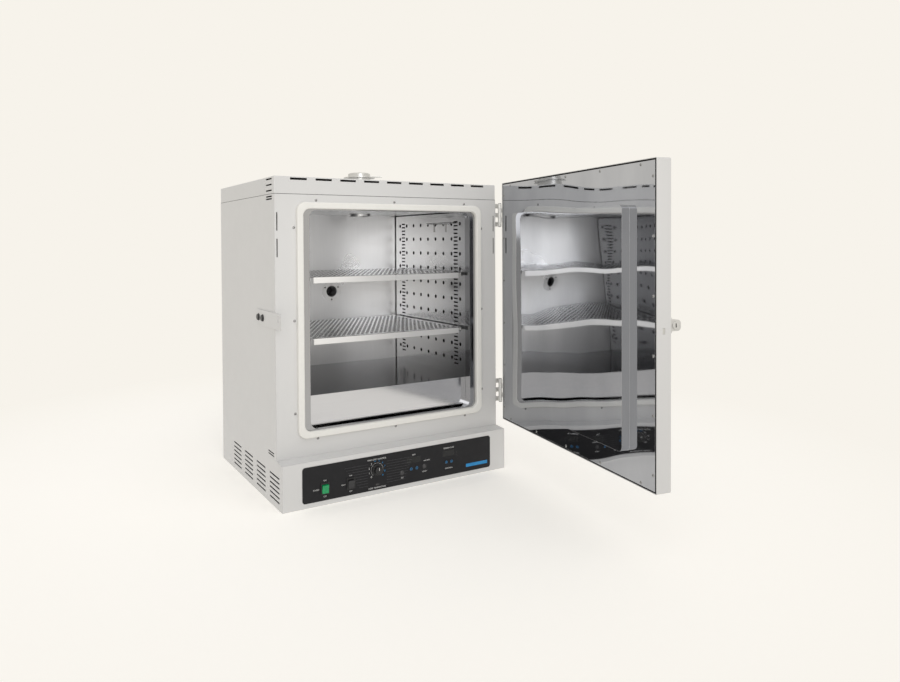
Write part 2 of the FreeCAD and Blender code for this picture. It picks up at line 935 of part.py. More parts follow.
def control_housing():
    """Bent sheet: the nose's front wall and its sloping ledge."""
    body = new_body("ControlHousing")
    sheet = size.cabinet_sheet
    sketch = new_sketch(body, "YZ", -INSIDE)
    corners = [
        (NOSE, as_length(0)),
        (NOSE + sheet, as_length(0)),
        (NOSE + sheet, size.base_height - sheet),
        (FRONT, LEDGE - sheet),
        (FRONT, LEDGE),
        (NOSE, size.base_height),
    ]
    polygon(sketch, corners)
    pad(body, sketch, INSIDE * 2)
    holes = new_sketch(body, "XZ", -NOSE)
    panel_openings(holes)
    pocket(body, holes, sheet * THROUGH, both=True)
    keep("control_housing", body)


def control_overlay():
    body = new_body("ControlOverlay")
    sketch = new_sketch(body, "XZ")
    half, low = size.overlay_half_width, size.overlay_bottom
    rounded(sketch, -half, low, half, low + size.overlay_height, size.overlay_radius)
    panel_openings(sketch)
    pad(body, sketch, size.overlay_sheet)
    put(body, 0, NOSE)
    keep("control_overlay", body)


def deck_plate():
    """Shelf across the cabinet that carries the oven over the base compartment."""
    body = new_body("DeckPlate")
    sketch = new_sketch(body, "XY", size.deck_height)
    rectangle(sketch, -INSIDE, BEHIND_FRONT, INSIDE, BEFORE_REAR)
    circle(sketch, FAN_X, FAN_Y, size.shaft_passage)
    pad(body, sketch, size.cabinet_sheet)
    keep("deck_plate", body)


def insulation():
    """Five slabs around the oven liner."""
    low, high = LINER_BOTTOM - size.liner_sheet, size.chamber_ceiling + size.liner_sheet
    depth = BEFORE_REAR - BEHIND_FRONT
    outer = LINER_HALF + size.liner_sheet
    back = CHAMBER_BACK + size.liner_sheet
    bottom = box((-INSIDE, BEHIND_FRONT, DECK_TOP), (INSIDE * 2, depth, low - DECK_TOP))
    passage = rod((FAN_X, FAN_Y, DECK_TOP), "z", size.shaft_passage, low - DECK_TOP)
    top = box((-INSIDE, BEHIND_FRONT, high), (INSIDE * 2, depth, BODY_TOP - high))
    flue = rod(
        (size.exhaust_x, EXHAUST_Y, high), "z", size.exhaust_radius + size.exhaust_wall, BODY_TOP - high)
    sides = [
        box((x, BEHIND_FRONT, low), (INSIDE - outer, depth, high - low))
        for x in (-INSIDE, outer)
    ]
    rear = box((-outer, back, low), (outer * 2, BEFORE_REAR - back, high - low))
    port = rod(
        (size.port_x, back, size.port_height), "y", size.port_bore + size.port_wall, BEFORE_REAR - back)
    slabs = [cut(bottom, passage), cut(top, flue), cut(rear, port)] + sides
    keep("insulation", gather(*slabs))


# Oven

def chamber_liner():
    """Welded box, open at the front."""
    body = new_body("ChamberLiner")
    sheet = size.liner_sheet
    outline = new_sketch(body, "XZ", -BEHIND_FRONT)
    ceiling = size.chamber_ceiling
    outer = LINER_HALF + sheet
    rectangle(outline, -outer, LINER_BOTTOM - sheet, outer, ceiling + sheet)
    depth = CHAMBER_BACK - BEHIND_FRONT
    pad(body, outline, depth + sheet, backwards=True)
    hollow = new_sketch(body, "XZ", -BEHIND_FRONT)
    rectangle(hollow, -LINER_HALF, LINER_BOTTOM, LINER_HALF, ceiling)
    pocket(body, hollow, depth, backwards=False)
    port = circle(new_sketch(body, "XZ"), size.port_x, size.port_height, size.port_bore + size.port_wall)
    pocket(body, port)
    flue = new_sketch(body, "XY", ceiling)
    circle(flue, size.exhaust_x, EXHAUST_Y, size.exhaust_radius + size.exhaust_wall)
    pocket(body, flue, sheet * THROUGH, both=True)
    passage = new_sketch(body, "XY", LINER_BOTTOM)
    circle(passage, FAN_X, FAN_Y, size.shaft_passage)
    pocket(body, passage, sheet * THROUGH, both=True)
    keep("chamber_liner", body)


def throat_frame():
    """Flange and round-cornered jambs that line the oven mouth."""
    body = new_body("ThroatFrame")
    flange = new_sketch(body, "XZ")
    low, high, half = size.opening_bottom, size.opening_top, DUCT_FACE
    radius, wall = size.opening_radius, size.liner_sheet
    rounded(flange, -FRAME_HALF, LINER_BOTTOM, FRAME_HALF, FRAME_TOP, size.frame_radius)
    rounded(flange, -half, low, half, high, radius)
    pad(body, flange, size.cabinet_sheet, backwards=True)
    jamb = new_sketch(body, "XZ")
    rounded(jamb, -half - wall, low - wall, half + wall, high + wall, radius + wall)
    rounded(jamb, -half, low, half, high, radius)
    pad(body, jamb, size.throat_depth, backwards=True)
    put(body, 0, FRONT)
    keep("throat_frame", body)


def duct_wall(name, side):
    """Perforated side wall: a channel with holes, ladder slots and an air window."""
    body = new_body("DuctWall")
    wall = size.liner_sheet
    front, back = THROAT_BACK, CHAMBER_BACK - size.duct_back_gap
    face, outer = side * DUCT_FACE, side * LINER_HALF
    web = face + side * wall
    channel = new_sketch(body, "XY", LINER_BOTTOM)
    corners = [
        (face, front),
        (outer, front),
        (outer, front + wall),
        (web, front + wall),
        (web, back - wall),
        (outer, back - wall),
        (outer, back),
        (face, back),
    ]
    polygon(channel, corners)
    pad(body, channel, size.chamber_ceiling - size.duct_top_gap - LINER_BOTTOM)

    window = new_sketch(body, "YZ", face)
    margin = size.duct_window_margin
    low, high = LINER_BOTTOM + margin, size.chamber_floor - margin
    rectangle(window, front + margin, low, back - margin, high)
    pocket(body, window, wall * THROUGH, both=True)

    hole = new_sketch(body, "YZ", face)
    first_y, first_z = front + size.hole_front, size.chamber_floor + size.hole_bottom
    spokes = [math.radians(60 * step + 30) for step in range(6)]
    hexagon = [
        (first_y + size.hole_radius * math.cos(turn), first_z + size.hole_radius * math.sin(turn))
        for turn in spokes
    ]
    polygon(hole, hexagon)
    round_hole = pocket(body, hole, wall * THROUGH, both=True)
    columns = ("Y", size.hole_columns, size.hole_pitch)
    rows = ("Z", size.hole_rows, size.hole_pitch)
    repeat(body, round_hole, columns, rows)

    rung = new_sketch(body, "YZ", face)
    centre = first_y + size.hole_pitch / 2
    half, rise = size.ladder_length / 2, size.ladder_slot / 2
    low, high = size.ladder_start - rise, size.ladder_start + rise
    rectangle(rung, centre - half, low, centre + half, high)
    slot = pocket(body, rung, wall * THROUGH, both=True)
    ladders = ("Y", as_length(2), LADDER_SPACING)
    repeat(body, slot, ladders, ("Z", size.ladder_count, size.ladder_pitch))
    keep(name, body)


def floor_cover():
    """Channel over the heaters: front apron, floor and a rear leg with heater holes."""
    body = new_body("FloorCover")
    sheet = size.liner_sheet
    half = DUCT_FACE - size.panel_gap
    front, back = THROAT_BACK, CHAMBER_BACK - size.panel_gap
    floor = size.chamber_floor
    apron_bottom = size.opening_bottom + size.apron_gap
    sketch = new_sketch(body, "YZ", -half)
    corners = [
        (front, apron_bottom),
        (front + sheet, apron_bottom),
        (front + sheet, floor - sheet),
        (back - sheet, floor - sheet),
        (back - sheet, LINER_BOTTOM),
        (back, LINER_BOTTOM),
        (back, floor),
        (front, floor),
    ]
    polygon(sketch, corners)
    pad(body, sketch, half * 2)
    holes = new_sketch(body, "XZ", -(back - sheet * 2))
    for centre in heater_places():
        for leg in (centre - HEATER_BEND, centre + HEATER_BEND):
            circle(holes, leg, size.heater_height, size.heater_radius + size.heater_hole_gap)
    pocket(body, holes, sheet * THROUGH)
    keep("floor_cover", body)


def heater_places():
    """Middles of the four heater loops across the oven."""
    inner = size.heater_inner_half + HEATER_BEND
    outer = inner + size.heater_pitch
    return [-outer, -inner, inner, outer]


def heater_elements():
    """Two tubular loops each side of the blower, fixed in the liner's back wall."""
    loops = []
    front = FRONT + size.heater_front
    reach, height = size.heater_leg_gap, size.heater_height
    for centre in heater_places():
        legs = [
            rod((leg, front, height), "y", size.heater_radius, CHAMBER_BACK - front)
            for leg in (centre - HEATER_BEND, centre + HEATER_BEND)
        ]
        ring = doc.addObject("Part::Torus", "Bend")
        bind(ring, "Radius1", HEATER_BEND)
        bind(ring, "Radius2", size.heater_radius)
        put(ring, centre, front, height)
        rear_half = box((centre - reach, front, height - reach), (reach * 2, reach, reach * 2))
        loops.append(join(*legs, cut(ring, rear_half)))
    keep("heater_elements", gather(*loops))


def heater_brackets():
    """Two combs a side on the liner's floor, under the heater loops."""
    combs = []
    low = LINER_BOTTOM
    height = size.heater_height - size.heater_radius - low
    outer = heater_places()[-1] + HEATER_BEND + size.heater_radius
    inner = size.heater_inner_half - size.heater_radius
    for left in (-outer, inner):
        for setback in (size.comb_front, size.comb_back):
            corner = (left, FRONT + setback, low)
            combs.append(box(corner, (outer - inner, size.comb_sheet, height)))
    keep("heater_brackets", gather(*combs))


def fan_wheel():
    """Centrifugal wheel on its shaft: hub, back plate, leaning blades and shroud."""
    body = new_body("FanWheel")
    radius, sheet, height = size.fan_radius, size.fan_sheet, size.fan_height
    plate = circle(new_sketch(body, "XY"), 0, 0, radius)
    pad(body, plate, sheet)
    hub = circle(new_sketch(body, "XY"), 0, 0, size.fan_hub_radius)
    pad(body, hub, size.fan_hub_height)
    outer = radius - sheet
    inner = outer - size.fan_blade_length
    lean = size.fan_blade_lean
    blade = new_sketch(body, "XY")
    corners = [
        (inner, lean),
        (outer, as_length(0)),
        (outer, sheet),
        (inner, lean + sheet),
    ]
    polygon(blade, corners)
    vane = pad(body, blade, height - sheet)
    ring = body.newObject("PartDesign::PolarPattern", "Blades")
    ring.Originals = [vane]
    ring.Axis = (origin_of(body, "Z_Axis"), [""])
    ring.Angle = 360
    bind(ring, "Occurrences", size.fan_blades)
    body.Tip = ring
    shroud = new_sketch(body, "XY", height - sheet)
    circle(shroud, 0, 0, radius)
    circle(shroud, 0, 0, inner)
    pad(body, shroud, sheet)
    shaft_length = FAN_BOTTOM - (MOTOR_TOP - size.motor_bore_depth + size.panel_gap)
    shaft = circle(new_sketch(body, "XY"), 0, 0, size.shaft_radius)
    pad(body, shaft, shaft_length, backwards=True)
    put(body, FAN_X, FAN_Y, FAN_BOTTOM)
    keep("fan_wheel", body)


def blower_motor():
    """Cylindrical motor with end bells, hung under its bracket."""
    radius, height = size.motor_radius, size.motor_height
    bell, narrow = size.motor_bell, size.motor_bell_radius
    low = MOTOR_TOP - height
    body = rod((FAN_X, FAN_Y, low + bell), "z", radius, height - bell * 2)
    lower = taper((FAN_X, FAN_Y, low), "z", narrow, radius, bell)
    upper = taper((FAN_X, FAN_Y, MOTOR_TOP - bell), "z", radius, narrow, bell)
    bore = rod(
        (FAN_X, FAN_Y, MOTOR_TOP - size.motor_bore_depth), "z",
        size.shaft_radius + size.shaft_clearance, size.motor_bore_depth)
    keep("blower_motor", cut(join(body, lower, upper), bore))


def motor_bracket():
    """Top-hat strip that hangs the motor from the deck."""
    body = new_body("MotorBracket")
    sheet, half = size.bracket_sheet, size.bracket_width / 2
    top, low = size.deck_height, MOTOR_TOP
    foot = half + size.bracket_drop * 2
    sketch = new_sketch(body, "XZ", -(FAN_Y - size.motor_radius))
    corners = [
        (-foot, top),
        (-foot, top - sheet),
        (-half, top - sheet),
        (-half, low),
        (half, low),
        (half, top - sheet),
        (foot, top - sheet),
        (foot, top),
        (half - sheet, top),
        (half - sheet, low + sheet),
        (-half + sheet, low + sheet),
        (-half + sheet, top),
    ]
    polygon(sketch, corners)
    pad(body, sketch, size.motor_radius * 2, backwards=True)
    passage = circle(new_sketch(body, "XY"), FAN_X, FAN_Y, size.shaft_passage)
    pocket(body, passage)
    keep("motor_bracket", body)


# Port, exhaust and probe

def port_tube():
    """Access port: a flanged tube through the back, with a loose ring on the rear."""
    x, z = size.port_x, size.port_height
    front = CHAMBER_BACK - size.port_flange
    length = REAR + size.port_flange - front
    outer = size.port_bore + size.port_wall
    flange = rod((x, front, z), "y", size.port_flange_radius, size.port_flange)
    tube = rod((x, front, z), "y", outer, length)
    bore = rod((x, front, z), "y", size.port_bore, length)
    ring = rod((x, REAR, z), "y", size.port_flange_radius, size.port_flange)
    hole = rod((x, REAR, z), "y", outer, size.port_flange)
    keep("port_tube", gather(cut(join(flange, tube), bore), cut(ring, hole)))


def port_screws():
    heads = []
    for face, sign in ((CHAMBER_BACK - size.port_flange, -1), (REAR + size.port_flange, 1)):
        for turn in (30, 150, 270):
            angle = math.radians(turn)
            x = size.port_x + size.port_screw_ring * math.cos(angle)
            z = size.port_height + size.port_screw_ring * math.sin(angle)
            y = face if sign > 0 else face - size.port_screw_height
            heads.append(rod((x, y, z), "y", size.port_screw_radius, size.port_screw_height))
    keep("port_screws", gather(*heads))


def exhaust_tube():
    """Flue from the oven's ceiling to the top of the stack."""
    x = size.exhaust_x
    low = size.chamber_ceiling - size.exhaust_drop
    outer = size.exhaust_radius + size.exhaust_wall
    length = STACK_TOP - low
    tube = rod((x, EXHAUST_Y, low), "z", outer, length)
    bore = rod((x, EXHAUST_Y, low), "z", size.exhaust_radius, length)
    keep("exhaust_tube", cut(tube, bore))


def vent_ports(centre_x, centre_y, low, turn, height):
    """Four round air holes on a circle, the first at the angle turn."""
    holes = []
    for quarter in range(4):
        angle = math.radians(90 * quarter + turn)
        x = centre_x + size.vent_port_ring * math.cos(angle)
        y = centre_y + size.vent_port_ring * math.sin(angle)
        holes.append(rod((x, y, low), "z", size.vent_port_radius, height))
    return holes


def vent_collar():
    """Roof collar, neck and the pierced top plate that the damper turns on."""
    x, y = size.exhaust_x, EXHAUST_Y
    inner = size.exhaust_radius + size.exhaust_wall
    skirt = rod((x, y, size.cabinet_height), "z", size.vent_flange_radius, size.vent_flange)
    neck = rod((x, y, size.cabinet_height), "z", size.vent_collar_radius, size.stack_height)
    top = rod((x, y, STACK_TOP), "z", size.vent_flange_radius, size.vent_flange)
    hollow = rod((x, y, size.cabinet_height), "z", inner, size.stack_height)
    pivot = rod((x, y, STACK_TOP), "z", size.vent_pin_radius, size.vent_flange)
    ports = vent_ports(x, y, STACK_TOP, PLATE_PORT_TURN, size.vent_flange)
    keep("vent_collar", cut(join(skirt, neck, top), hollow, pivot, *ports))


def vent_damper():
    """Round cap with a flat lever; its four holes meet the plate's when it is turned."""
    low = CAP_BOTTOM + size.turn_gap
    zero = as_length(0)
    radius, height = size.vent_cap_radius, size.vent_cap_height
    side = size.vent_cap_side
    cap = rod((zero, zero, low), "z", radius, side)
    crown = taper((zero, zero, low + side), "z", radius, size.vent_crown_radius, height - side)
    width = size.vent_lever_width
    lever = box((zero, -width / 2, low), (size.vent_lever_reach, width, size.vent_lever))
    pin_radius = size.vent_pin_radius - size.shaft_clearance
    pin = rod((zero, zero, STACK_TOP), "z", pin_radius, low + size.vent_lever - STACK_TOP)
    ports = vent_ports(zero, zero, low, DAMPER_PORT_TURN, height)
    damper = gather(cut(join(cap, crown, lever, pin), *ports))
    turn = FreeCAD.Rotation(FreeCAD.Vector(0, 0, 1), number(size.vent_rest_angle))
    damper.Placement = FreeCAD.Placement(FreeCAD.Vector(), turn)
    put(damper, size.exhaust_x, EXHAUST_Y)
    keep("vent_damper", damper)


def probe():
    x = DUCT_FACE - size.probe_standoff
    start = (x, FRONT + size.probe_front, size.probe_height)
    keep("probe", gather(rod(start, "y", size.probe_radius, size.probe_length)))


def probe_clips():
    """Two straps on the right duct wall that carry the probe."""
    clips = []
    left = DUCT_FACE - size.probe_standoff
    width, sheet = size.probe_clip_width, size.liner_sheet
    for setback in (size.probe_clip_front, size.probe_clip_back):
        y = FRONT + setback - width / 2
        low = size.probe_height - size.probe_clip_length
        strap = box((DUCT_FACE - sheet, y, low), (sheet, width, size.probe_clip_length))
        arm = box(
            (left, y, size.probe_height - size.probe_radius - sheet),
            (size.probe_standoff, width, sheet))
        clips.append(join(strap, arm))
    keep("probe_clips", gather(*clips))


# Shelves

def rung_height(rung):
    return size.ladder_start + rung * size.ladder_pitch


def shelf_top(rung):
    return rung_height(rung) + size.clip_sheet / 2 + size.slide_clearance + size.shelf_lip


def shelf_clips():
    """Eight hooks in the ladder slots; each has a ledge for a shelf's side lip."""
    clips = []
    for rung in (size.lower_shelf_rung, size.upper_shelf_rung):
        z = rung_height(rung) - size.clip_sheet / 2
        for side in (-1, 1):
            for y in (LADDER_FRONT, LADDER_FRONT + LADDER_SPACING):
                front = y - size.clip_width / 2
                reach = size.shelf_side_gap + size.clip_ledge
                hook_x = DUCT_FACE + size.liner_sheet + size.clip_slack
                length = reach + size.liner_sheet + size.clip_slack + size.clip_sheet
                left = DUCT_FACE - reach if side > 0 else -(hook_x + size.clip_sheet)
                ledge = box((left, front, z), (length, size.clip_width, size.clip_sheet))
                tab_x = hook_x if side > 0 else -(hook_x + size.clip_sheet)
                tab = box(
                    (tab_x, front, z - size.clip_hook + size.clip_sheet),
                    (size.clip_sheet, size.clip_width, size.clip_hook))
                stop_x = DUCT_FACE - size.shelf_side_gap / 2
                left_stop = stop_x if side > 0 else -stop_x - size.clip_sheet
                stop = box((left_stop, front, z), (size.clip_sheet, size.clip_width, size.clip_hook))
                clips.append(join(ledge, tab, stop))
    keep("shelf_clips", gather(*clips))


def shelf(name, rung):
    """Folded tray: a flat top with a deep front lip and shallower sides."""
    body = new_body("Shelf")
    half = DUCT_FACE - size.shelf_side_gap
    front = FRONT + size.shelf_setback
    back = front + size.shelf_depth
    top = shelf_top(rung)
    sheet = size.shelf_sheet
    outline = new_sketch(body, "XY", top - size.shelf_lip)
    rectangle(outline, -half, front, half, back)
    pad(body, outline, size.shelf_lip)
    hollow = new_sketch(body, "XY", top - size.shelf_lip)
    rectangle(hollow, -half + sheet, front + sheet, half - sheet, back - sheet)
    pocket(body, hollow, size.shelf_lip - sheet, backwards=True)
    lip = new_sketch(body, "XZ", -front)
    lip_half = half - size.clip_width / 2
    rectangle(lip, -lip_half, top - size.shelf_front_lip, lip_half, top)
    pad(body, lip, sheet, backwards=True)
    keep(name, body)


# Gasket and door

def door_gasket():
    """Rounded seal around the mouth, glued to the face sheet."""
    body = new_body("Gasket")
    outer = FRAME_HALF + size.gasket_width
    low, high = LINER_BOTTOM - size.gasket_width, FRAME_TOP + size.gasket_width
    sketch = new_sketch(body, "XZ")
    rounded(sketch, -outer, low, outer, high, size.gasket_radius)
    rounded(sketch, -FRAME_HALF, LINER_BOTTOM, FRAME_HALF, FRAME_TOP, size.frame_radius)
    proud = size.door_gap - size.seal_clearance
    pad(body, sketch, proud)

    def front_edge(edge):
        return near(middle(edge).y, -proud)

    round_edges(body, size.gasket_round, front_edge)
    put(body, 0, FRONT)
    keep("door_gasket", body)


def door_skin():
    """Painted tray: outer face and four side walls, with rounded outer edges."""
    body = new_body("DoorSkin")
    sheet = size.door_sheet
    left, right = DOOR_FREE_EDGE, DOOR_HINGE_EDGE
    outline = new_sketch(body, "XZ", -DOOR_INNER)
    rectangle(outline, left, size.door_bottom, right, size.door_top)
    pad(body, outline, size.door_thickness)

    def outer_edge(edge):
        return along(edge, "y") or near(middle(edge).y, DOOR_OUTER)

    round_edges(body, size.door_edge_radius, outer_edge)
    hollow = new_sketch(body, "XZ", -DOOR_INNER)
    low, high = size.door_bottom + sheet, size.door_top - sheet
    rectangle(hollow, left + sheet, low, right - sheet, high)
    pocket(body, hollow, size.door_thickness - sheet, backwards=True)
    slot = new_sketch(body, "YZ", DOOR_FREE_EDGE)
    half = size.latch_bolt_thick / 2 + size.slide_clearance
    rise = size.latch_bolt_height / 2 + size.slide_clearance
    rectangle(slot, BOLT_Y - half, BOLT_HEIGHT - rise, BOLT_Y + half, BOLT_HEIGHT + rise)
    pocket(body, slot, sheet * THROUGH, both=True)
    spindle = new_sketch(body, "XZ", -DOOR_OUTER)
    circle(spindle, SPINDLE_X, size.latch_height, size.spindle_radius + size.turn_gap)
    pocket(body, spindle, sheet * THROUGH, both=True)
    hang("door_skin", body)


def plug_box():
    """Left, low, right and high of the raised plug that enters the oven mouth."""
    left = -(HINGE_X + DUCT_FACE) + size.plug_clearance
    right = DUCT_FACE - HINGE_X - size.plug_clearance
    low = size.opening_bottom + size.plug_bottom_rise
    high = size.opening_top - size.plug_clearance
    return left, low, right, high


def door_liner():
    """Polished inner sheet with a raised plug, hollow behind."""
    body = new_body("DoorLiner")
    sheet = size.door_liner_sheet
    gap = size.door_sheet + size.door_liner_gap
    plate = new_sketch(body, "XZ", -DOOR_INNER)
    low, high = size.door_bottom + gap, size.door_top - gap
    rectangle(plate, DOOR_FREE_EDGE + gap, low, DOOR_HINGE_EDGE - gap, high)
    pad(body, plate, sheet)
    left, low, right, high = plug_box()
    plug = new_sketch(body, "XZ", -DOOR_INNER)
    rounded(plug, left, low, right, high, size.plug_radius)
    pad(body, plug, size.plug_depth, backwards=True)
    hollow = new_sketch(body, "XZ", -(DOOR_INNER - sheet))
    left, low, right, high = left + sheet, low + sheet, right - sheet, high - sheet
    rounded(hollow, left, low, right, high, size.plug_radius - sheet)
    pocket(body, hollow, size.plug_depth, backwards=False)
    hang("door_liner", body)


def door_insulation():
    """Blanket inside the door and its plug, with room left around the latch bolt."""
    sheet, gap = size.door_sheet, size.panel_gap
    left, right = DOOR_FREE_EDGE + sheet + gap, DOOR_HINGE_EDGE - sheet - gap
    low, high = size.door_bottom + sheet + gap, size.door_top - sheet - gap
    back = DOOR_OUTER + sheet
    depth = DOOR_INNER - size.door_liner_sheet - back
    slab = box((left, back, low), (right - left, depth, high - low))
    inner_left, inner_low, inner_right, inner_high = plug_box()
    inset = size.plug_radius / 2
    core = box(
        (inner_left + inset, back, inner_low + inset),
        (inner_right - inner_left - inset * 2, depth + size.plug_depth,
         inner_high - inner_low - inset * 2))
    room = size.latch_bolt_height
    cell_low = BOLT_HEIGHT - room
    cell = box(
        (left, back, cell_low),
        (size.latch_bolt_length + room, depth, size.latch_height + room - cell_low))
    hang("door_insulation", cut(join(slab, core), cell))


def hinge_knuckles(centre, remainder, x, y):
    """Knuckles of one leaf, every other section: the barrel, its bottom and its height."""
    pieces = []
    low = centre - size.hinge_height / 2
    count = int(number(size.knuckle_count))
    pitch = size.hinge_height / size.knuckle_count
    for index in range(count):
        if index % 2 != remainder:
            continue
        bottom = low + pitch * index + size.knuckle_gap / 2
        tall = pitch - size.knuckle_gap
        barrel = rod((x, y, bottom), "z", size.knuckle_radius, tall)
        pieces.append((barrel, bottom, tall))
    return pieces


def cabinet_hinge_leaves():
    """Two leaves on the cabinet's right side, with three knuckles each."""
    leaves = []
    sheet = size.hinge_sheet
    start = FRONT + size.leaf_setback
    for centre in (size.hinge_low, size.hinge_high):
        low = centre - size.hinge_height / 2
        leaf = box((HALF, start, low), (sheet, size.cabinet_leaf_reach, size.hinge_height))
        parts = [leaf]
        for barrel, bottom, tall in hinge_knuckles(centre, 0, HINGE_X, HINGE_Y):
            arm = box((HALF, start, bottom), (HINGE_X - HALF, sheet, tall))
            riser = box(
                (HINGE_X, HINGE_Y, bottom),
                (size.knuckle_radius, start + sheet - HINGE_Y, tall))
            parts += [barrel, arm, riser]
        bore = rod((HINGE_X, HINGE_Y, low), "z", size.pin_radius, size.hinge_height)
        leaves.append(cut(join(*parts), bore))
    keep("cabinet_hinge_leaves", gather(*leaves))


def door_hinge_leaves():
    """Two leaves on the door's hinge edge, with two knuckles each."""
    leaves = []
    sheet = size.hinge_sheet
    start = DOOR_INNER - size.leaf_inset
    reach = size.door_thickness - size.door_edge_radius - size.leaf_setback
    for centre in (size.hinge_low, size.hinge_high):
        low = centre - size.hinge_height / 2
        leaf = box((DOOR_HINGE_EDGE, start - reach, low), (sheet, reach, size.hinge_height))
        parts = [leaf]
        for barrel, bottom, tall in hinge_knuckles(centre, 1, 0, 0):
            arm = box(
                (DOOR_HINGE_EDGE, -size.knuckle_radius, bottom),
                (-DOOR_HINGE_EDGE, sheet, tall))
            parts += [barrel, arm]
        bore = rod(
            (as_length(0), as_length(0), low), "z",
            size.pin_radius + size.pin_clearance, size.hinge_height)
        leaves.append(cut(join(*parts), bore))
    hang("door_hinge_leaves", gather(*leaves))


def hinge_pins():
    pins = []
    for centre in (size.hinge_low, size.hinge_high):
        low = centre - size.hinge_height / 2
        shaft = rod((HINGE_X, HINGE_Y, low), "z", size.pin_radius, size.hinge_height)
        heads = [
            rod((HINGE_X, HINGE_Y, z), "z", size.pin_head_radius, size.pin_head)
            for z in (low - size.pin_head, low + size.hinge_height)
        ]
        pins.append(join(shaft, *heads))
    keep("hinge_pins", gather(*pins))


def liner_screw_places():
    """Screws around the door liner's border."""
    inset = size.liner_screw_inset
    left, right = DOOR_FREE_EDGE + inset, DOOR_HINGE_EDGE - inset
    low, high = size.door_bottom + inset, size.door_top - inset
    columns, rows = 5, 6
    pitch_x = (right - left - size.liner_screw_end_x * 2) / (columns - 1)
    pitch_z = (high - low - size.liner_screw_end_z * 2) / (rows - 1)
    places = []
    for step in range(columns):
        x = left + size.liner_screw_end_x + pitch_x * step
        places += [(x, low), (x, high)]
    for step in range(rows):
        z = low + size.liner_screw_end_z + pitch_z * step
        places += [(left, z), (right, z)]
    return places


def liner_screws():
    heads = screws([(x, DOOR_INNER, z) for x, z in liner_screw_places()], "y", 1)
    hang("liner_screws", heads)


# Latch

def latch_housing():
    """Backplate and a round-nosed body; the lock sits in its free-edge end."""
    body = new_body("LatchHousing")
    centre = size.latch_height
    left = DOOR_FREE_EDGE + size.latch_inset
    plate = new_sketch(body, "XZ", -DOOR_OUTER)
    half = size.latch_plate_height / 2
    right = left + size.latch_plate_length
    rounded(plate, left, centre - half, right, centre + half, size.latch_plate_radius)
    pad(body, plate, size.latch_plate)
    block = new_sketch(body, "XZ", -DOOR_OUTER)
    rise = size.latch_body_height / 2
    rectangle(block, left, centre - rise, left + size.latch_body_length, centre + rise)
    pad(body, block, size.latch_body_proud)

    def nose(edge):
        point = middle(edge)
        return along(edge, "x") and near(point.y, DOOR_OUTER - size.latch_body_proud)

    round_edges(body, size.latch_nose_radius, nose)
    lock = new_sketch(body, "YZ", left)
    circle(lock, LOCK_Y, centre, size.lock_radius + size.shaft_clearance)
    pocket(body, lock, size.lock_bore_depth, backwards=True)
    spindle = new_sketch(body, "XZ", -DOOR_OUTER)
    circle(spindle, SPINDLE_X, centre, size.spindle_radius + size.shaft_clearance)
    pocket(body, spindle)
    hang("latch_housing", body)


def lock_cylinder():
    """Keyed plug: a round barrel with a keyway in its face."""
    start = DOOR_FREE_EDGE + size.latch_inset - (size.lock_length - size.lock_bore_depth)
    length = size.lock_length - size.panel_gap
    barrel = rod((start, LOCK_Y, size.latch_height), "x", size.lock_radius, length)
    half, rise = size.keyway_width / 2, size.keyway_height / 2
    keyway = box(
        (start, LOCK_Y - half, size.latch_height - rise),
        (size.lock_length / 2, half * 2, rise * 2))
    hang("lock_cylinder", cut(barrel, keyway))


def latch_handle():
    """Lever on a spindle through the door, with a cam arm and pin that drive the bolt."""
    centre = size.latch_height
    face = DOOR_OUTER - size.latch_body_proud - size.turn_gap
    cam_face = BOLT_Y - size.latch_bolt_thick / 2 - size.slide_clearance
    spindle = rod((SPINDLE_X, face, centre), "y", size.spindle_radius, cam_face - face)
    knob = face - size.handle_hub
    hub = rod((SPINDLE_X, knob, centre), "y", size.handle_hub_radius, size.handle_hub)
    half = size.handle_width / 2
    length = size.handle_length - half
    arm = box((SPINDLE_X, knob, centre - half), (length, size.handle_sheet, size.handle_width))
    tip = rod((SPINDLE_X + length, knob, centre), "y", half, size.handle_sheet)

    pin_radius, eye_radius = size.cam_pin_radius, size.cam_eye_radius
    web = doc.addObject("Part::Box", "CamArm")
    bind(web, "Length", CAM_REACH)
    bind(web, "Width", size.cam_sheet)
    bind(web, "Height", eye_radius * 2)
    offset = eye_radius * math.sqrt(0.5)
    web.Placement = FreeCAD.Placement(FreeCAD.Vector(), FreeCAD.Rotation(FreeCAD.Vector(0, 1, 0), 45))
    put(web, SPINDLE_X - offset, cam_face - size.cam_sheet, centre - offset)
    pin_x, pin_z = SPINDLE_X + CAM_OFFSET, centre - CAM_OFFSET
    cam_back = cam_face - size.cam_sheet
    eye = rod((pin_x, cam_back, pin_z), "y", eye_radius, size.cam_sheet)
    pin_length = BOLT_Y + size.latch_bolt_thick / 2 - cam_back
    pin = rod((pin_x, cam_back, pin_z), "y", pin_radius, pin_length)
    hang("latch_handle", join(spindle, hub, arm, tip, web, eye, pin))


def latch_bolt():
    """Flat sliding bolt with an upright slot for the cam pin, drawn level with the edge."""
    thick, tall = size.latch_bolt_thick, size.latch_bolt_height
    low = BOLT_HEIGHT - tall / 2
    left = DOOR_FREE_EDGE + size.panel_gap
    bar = box((left, BOLT_Y - thick / 2, low), (size.latch_bolt_length, thick, tall))
    half = size.cam_pin_radius + size.cam_slot_gap
    slot_low = size.latch_height - CAM_REACH - half
    slot_high = size.latch_height - CAM_OFFSET + half
    slot = box(
        (SPINDLE_X + CAM_OFFSET - half, BOLT_Y - thick / 2, slot_low),
        (half * 2, thick, slot_high - slot_low))
    hang("latch_bolt", cut(bar, slot))


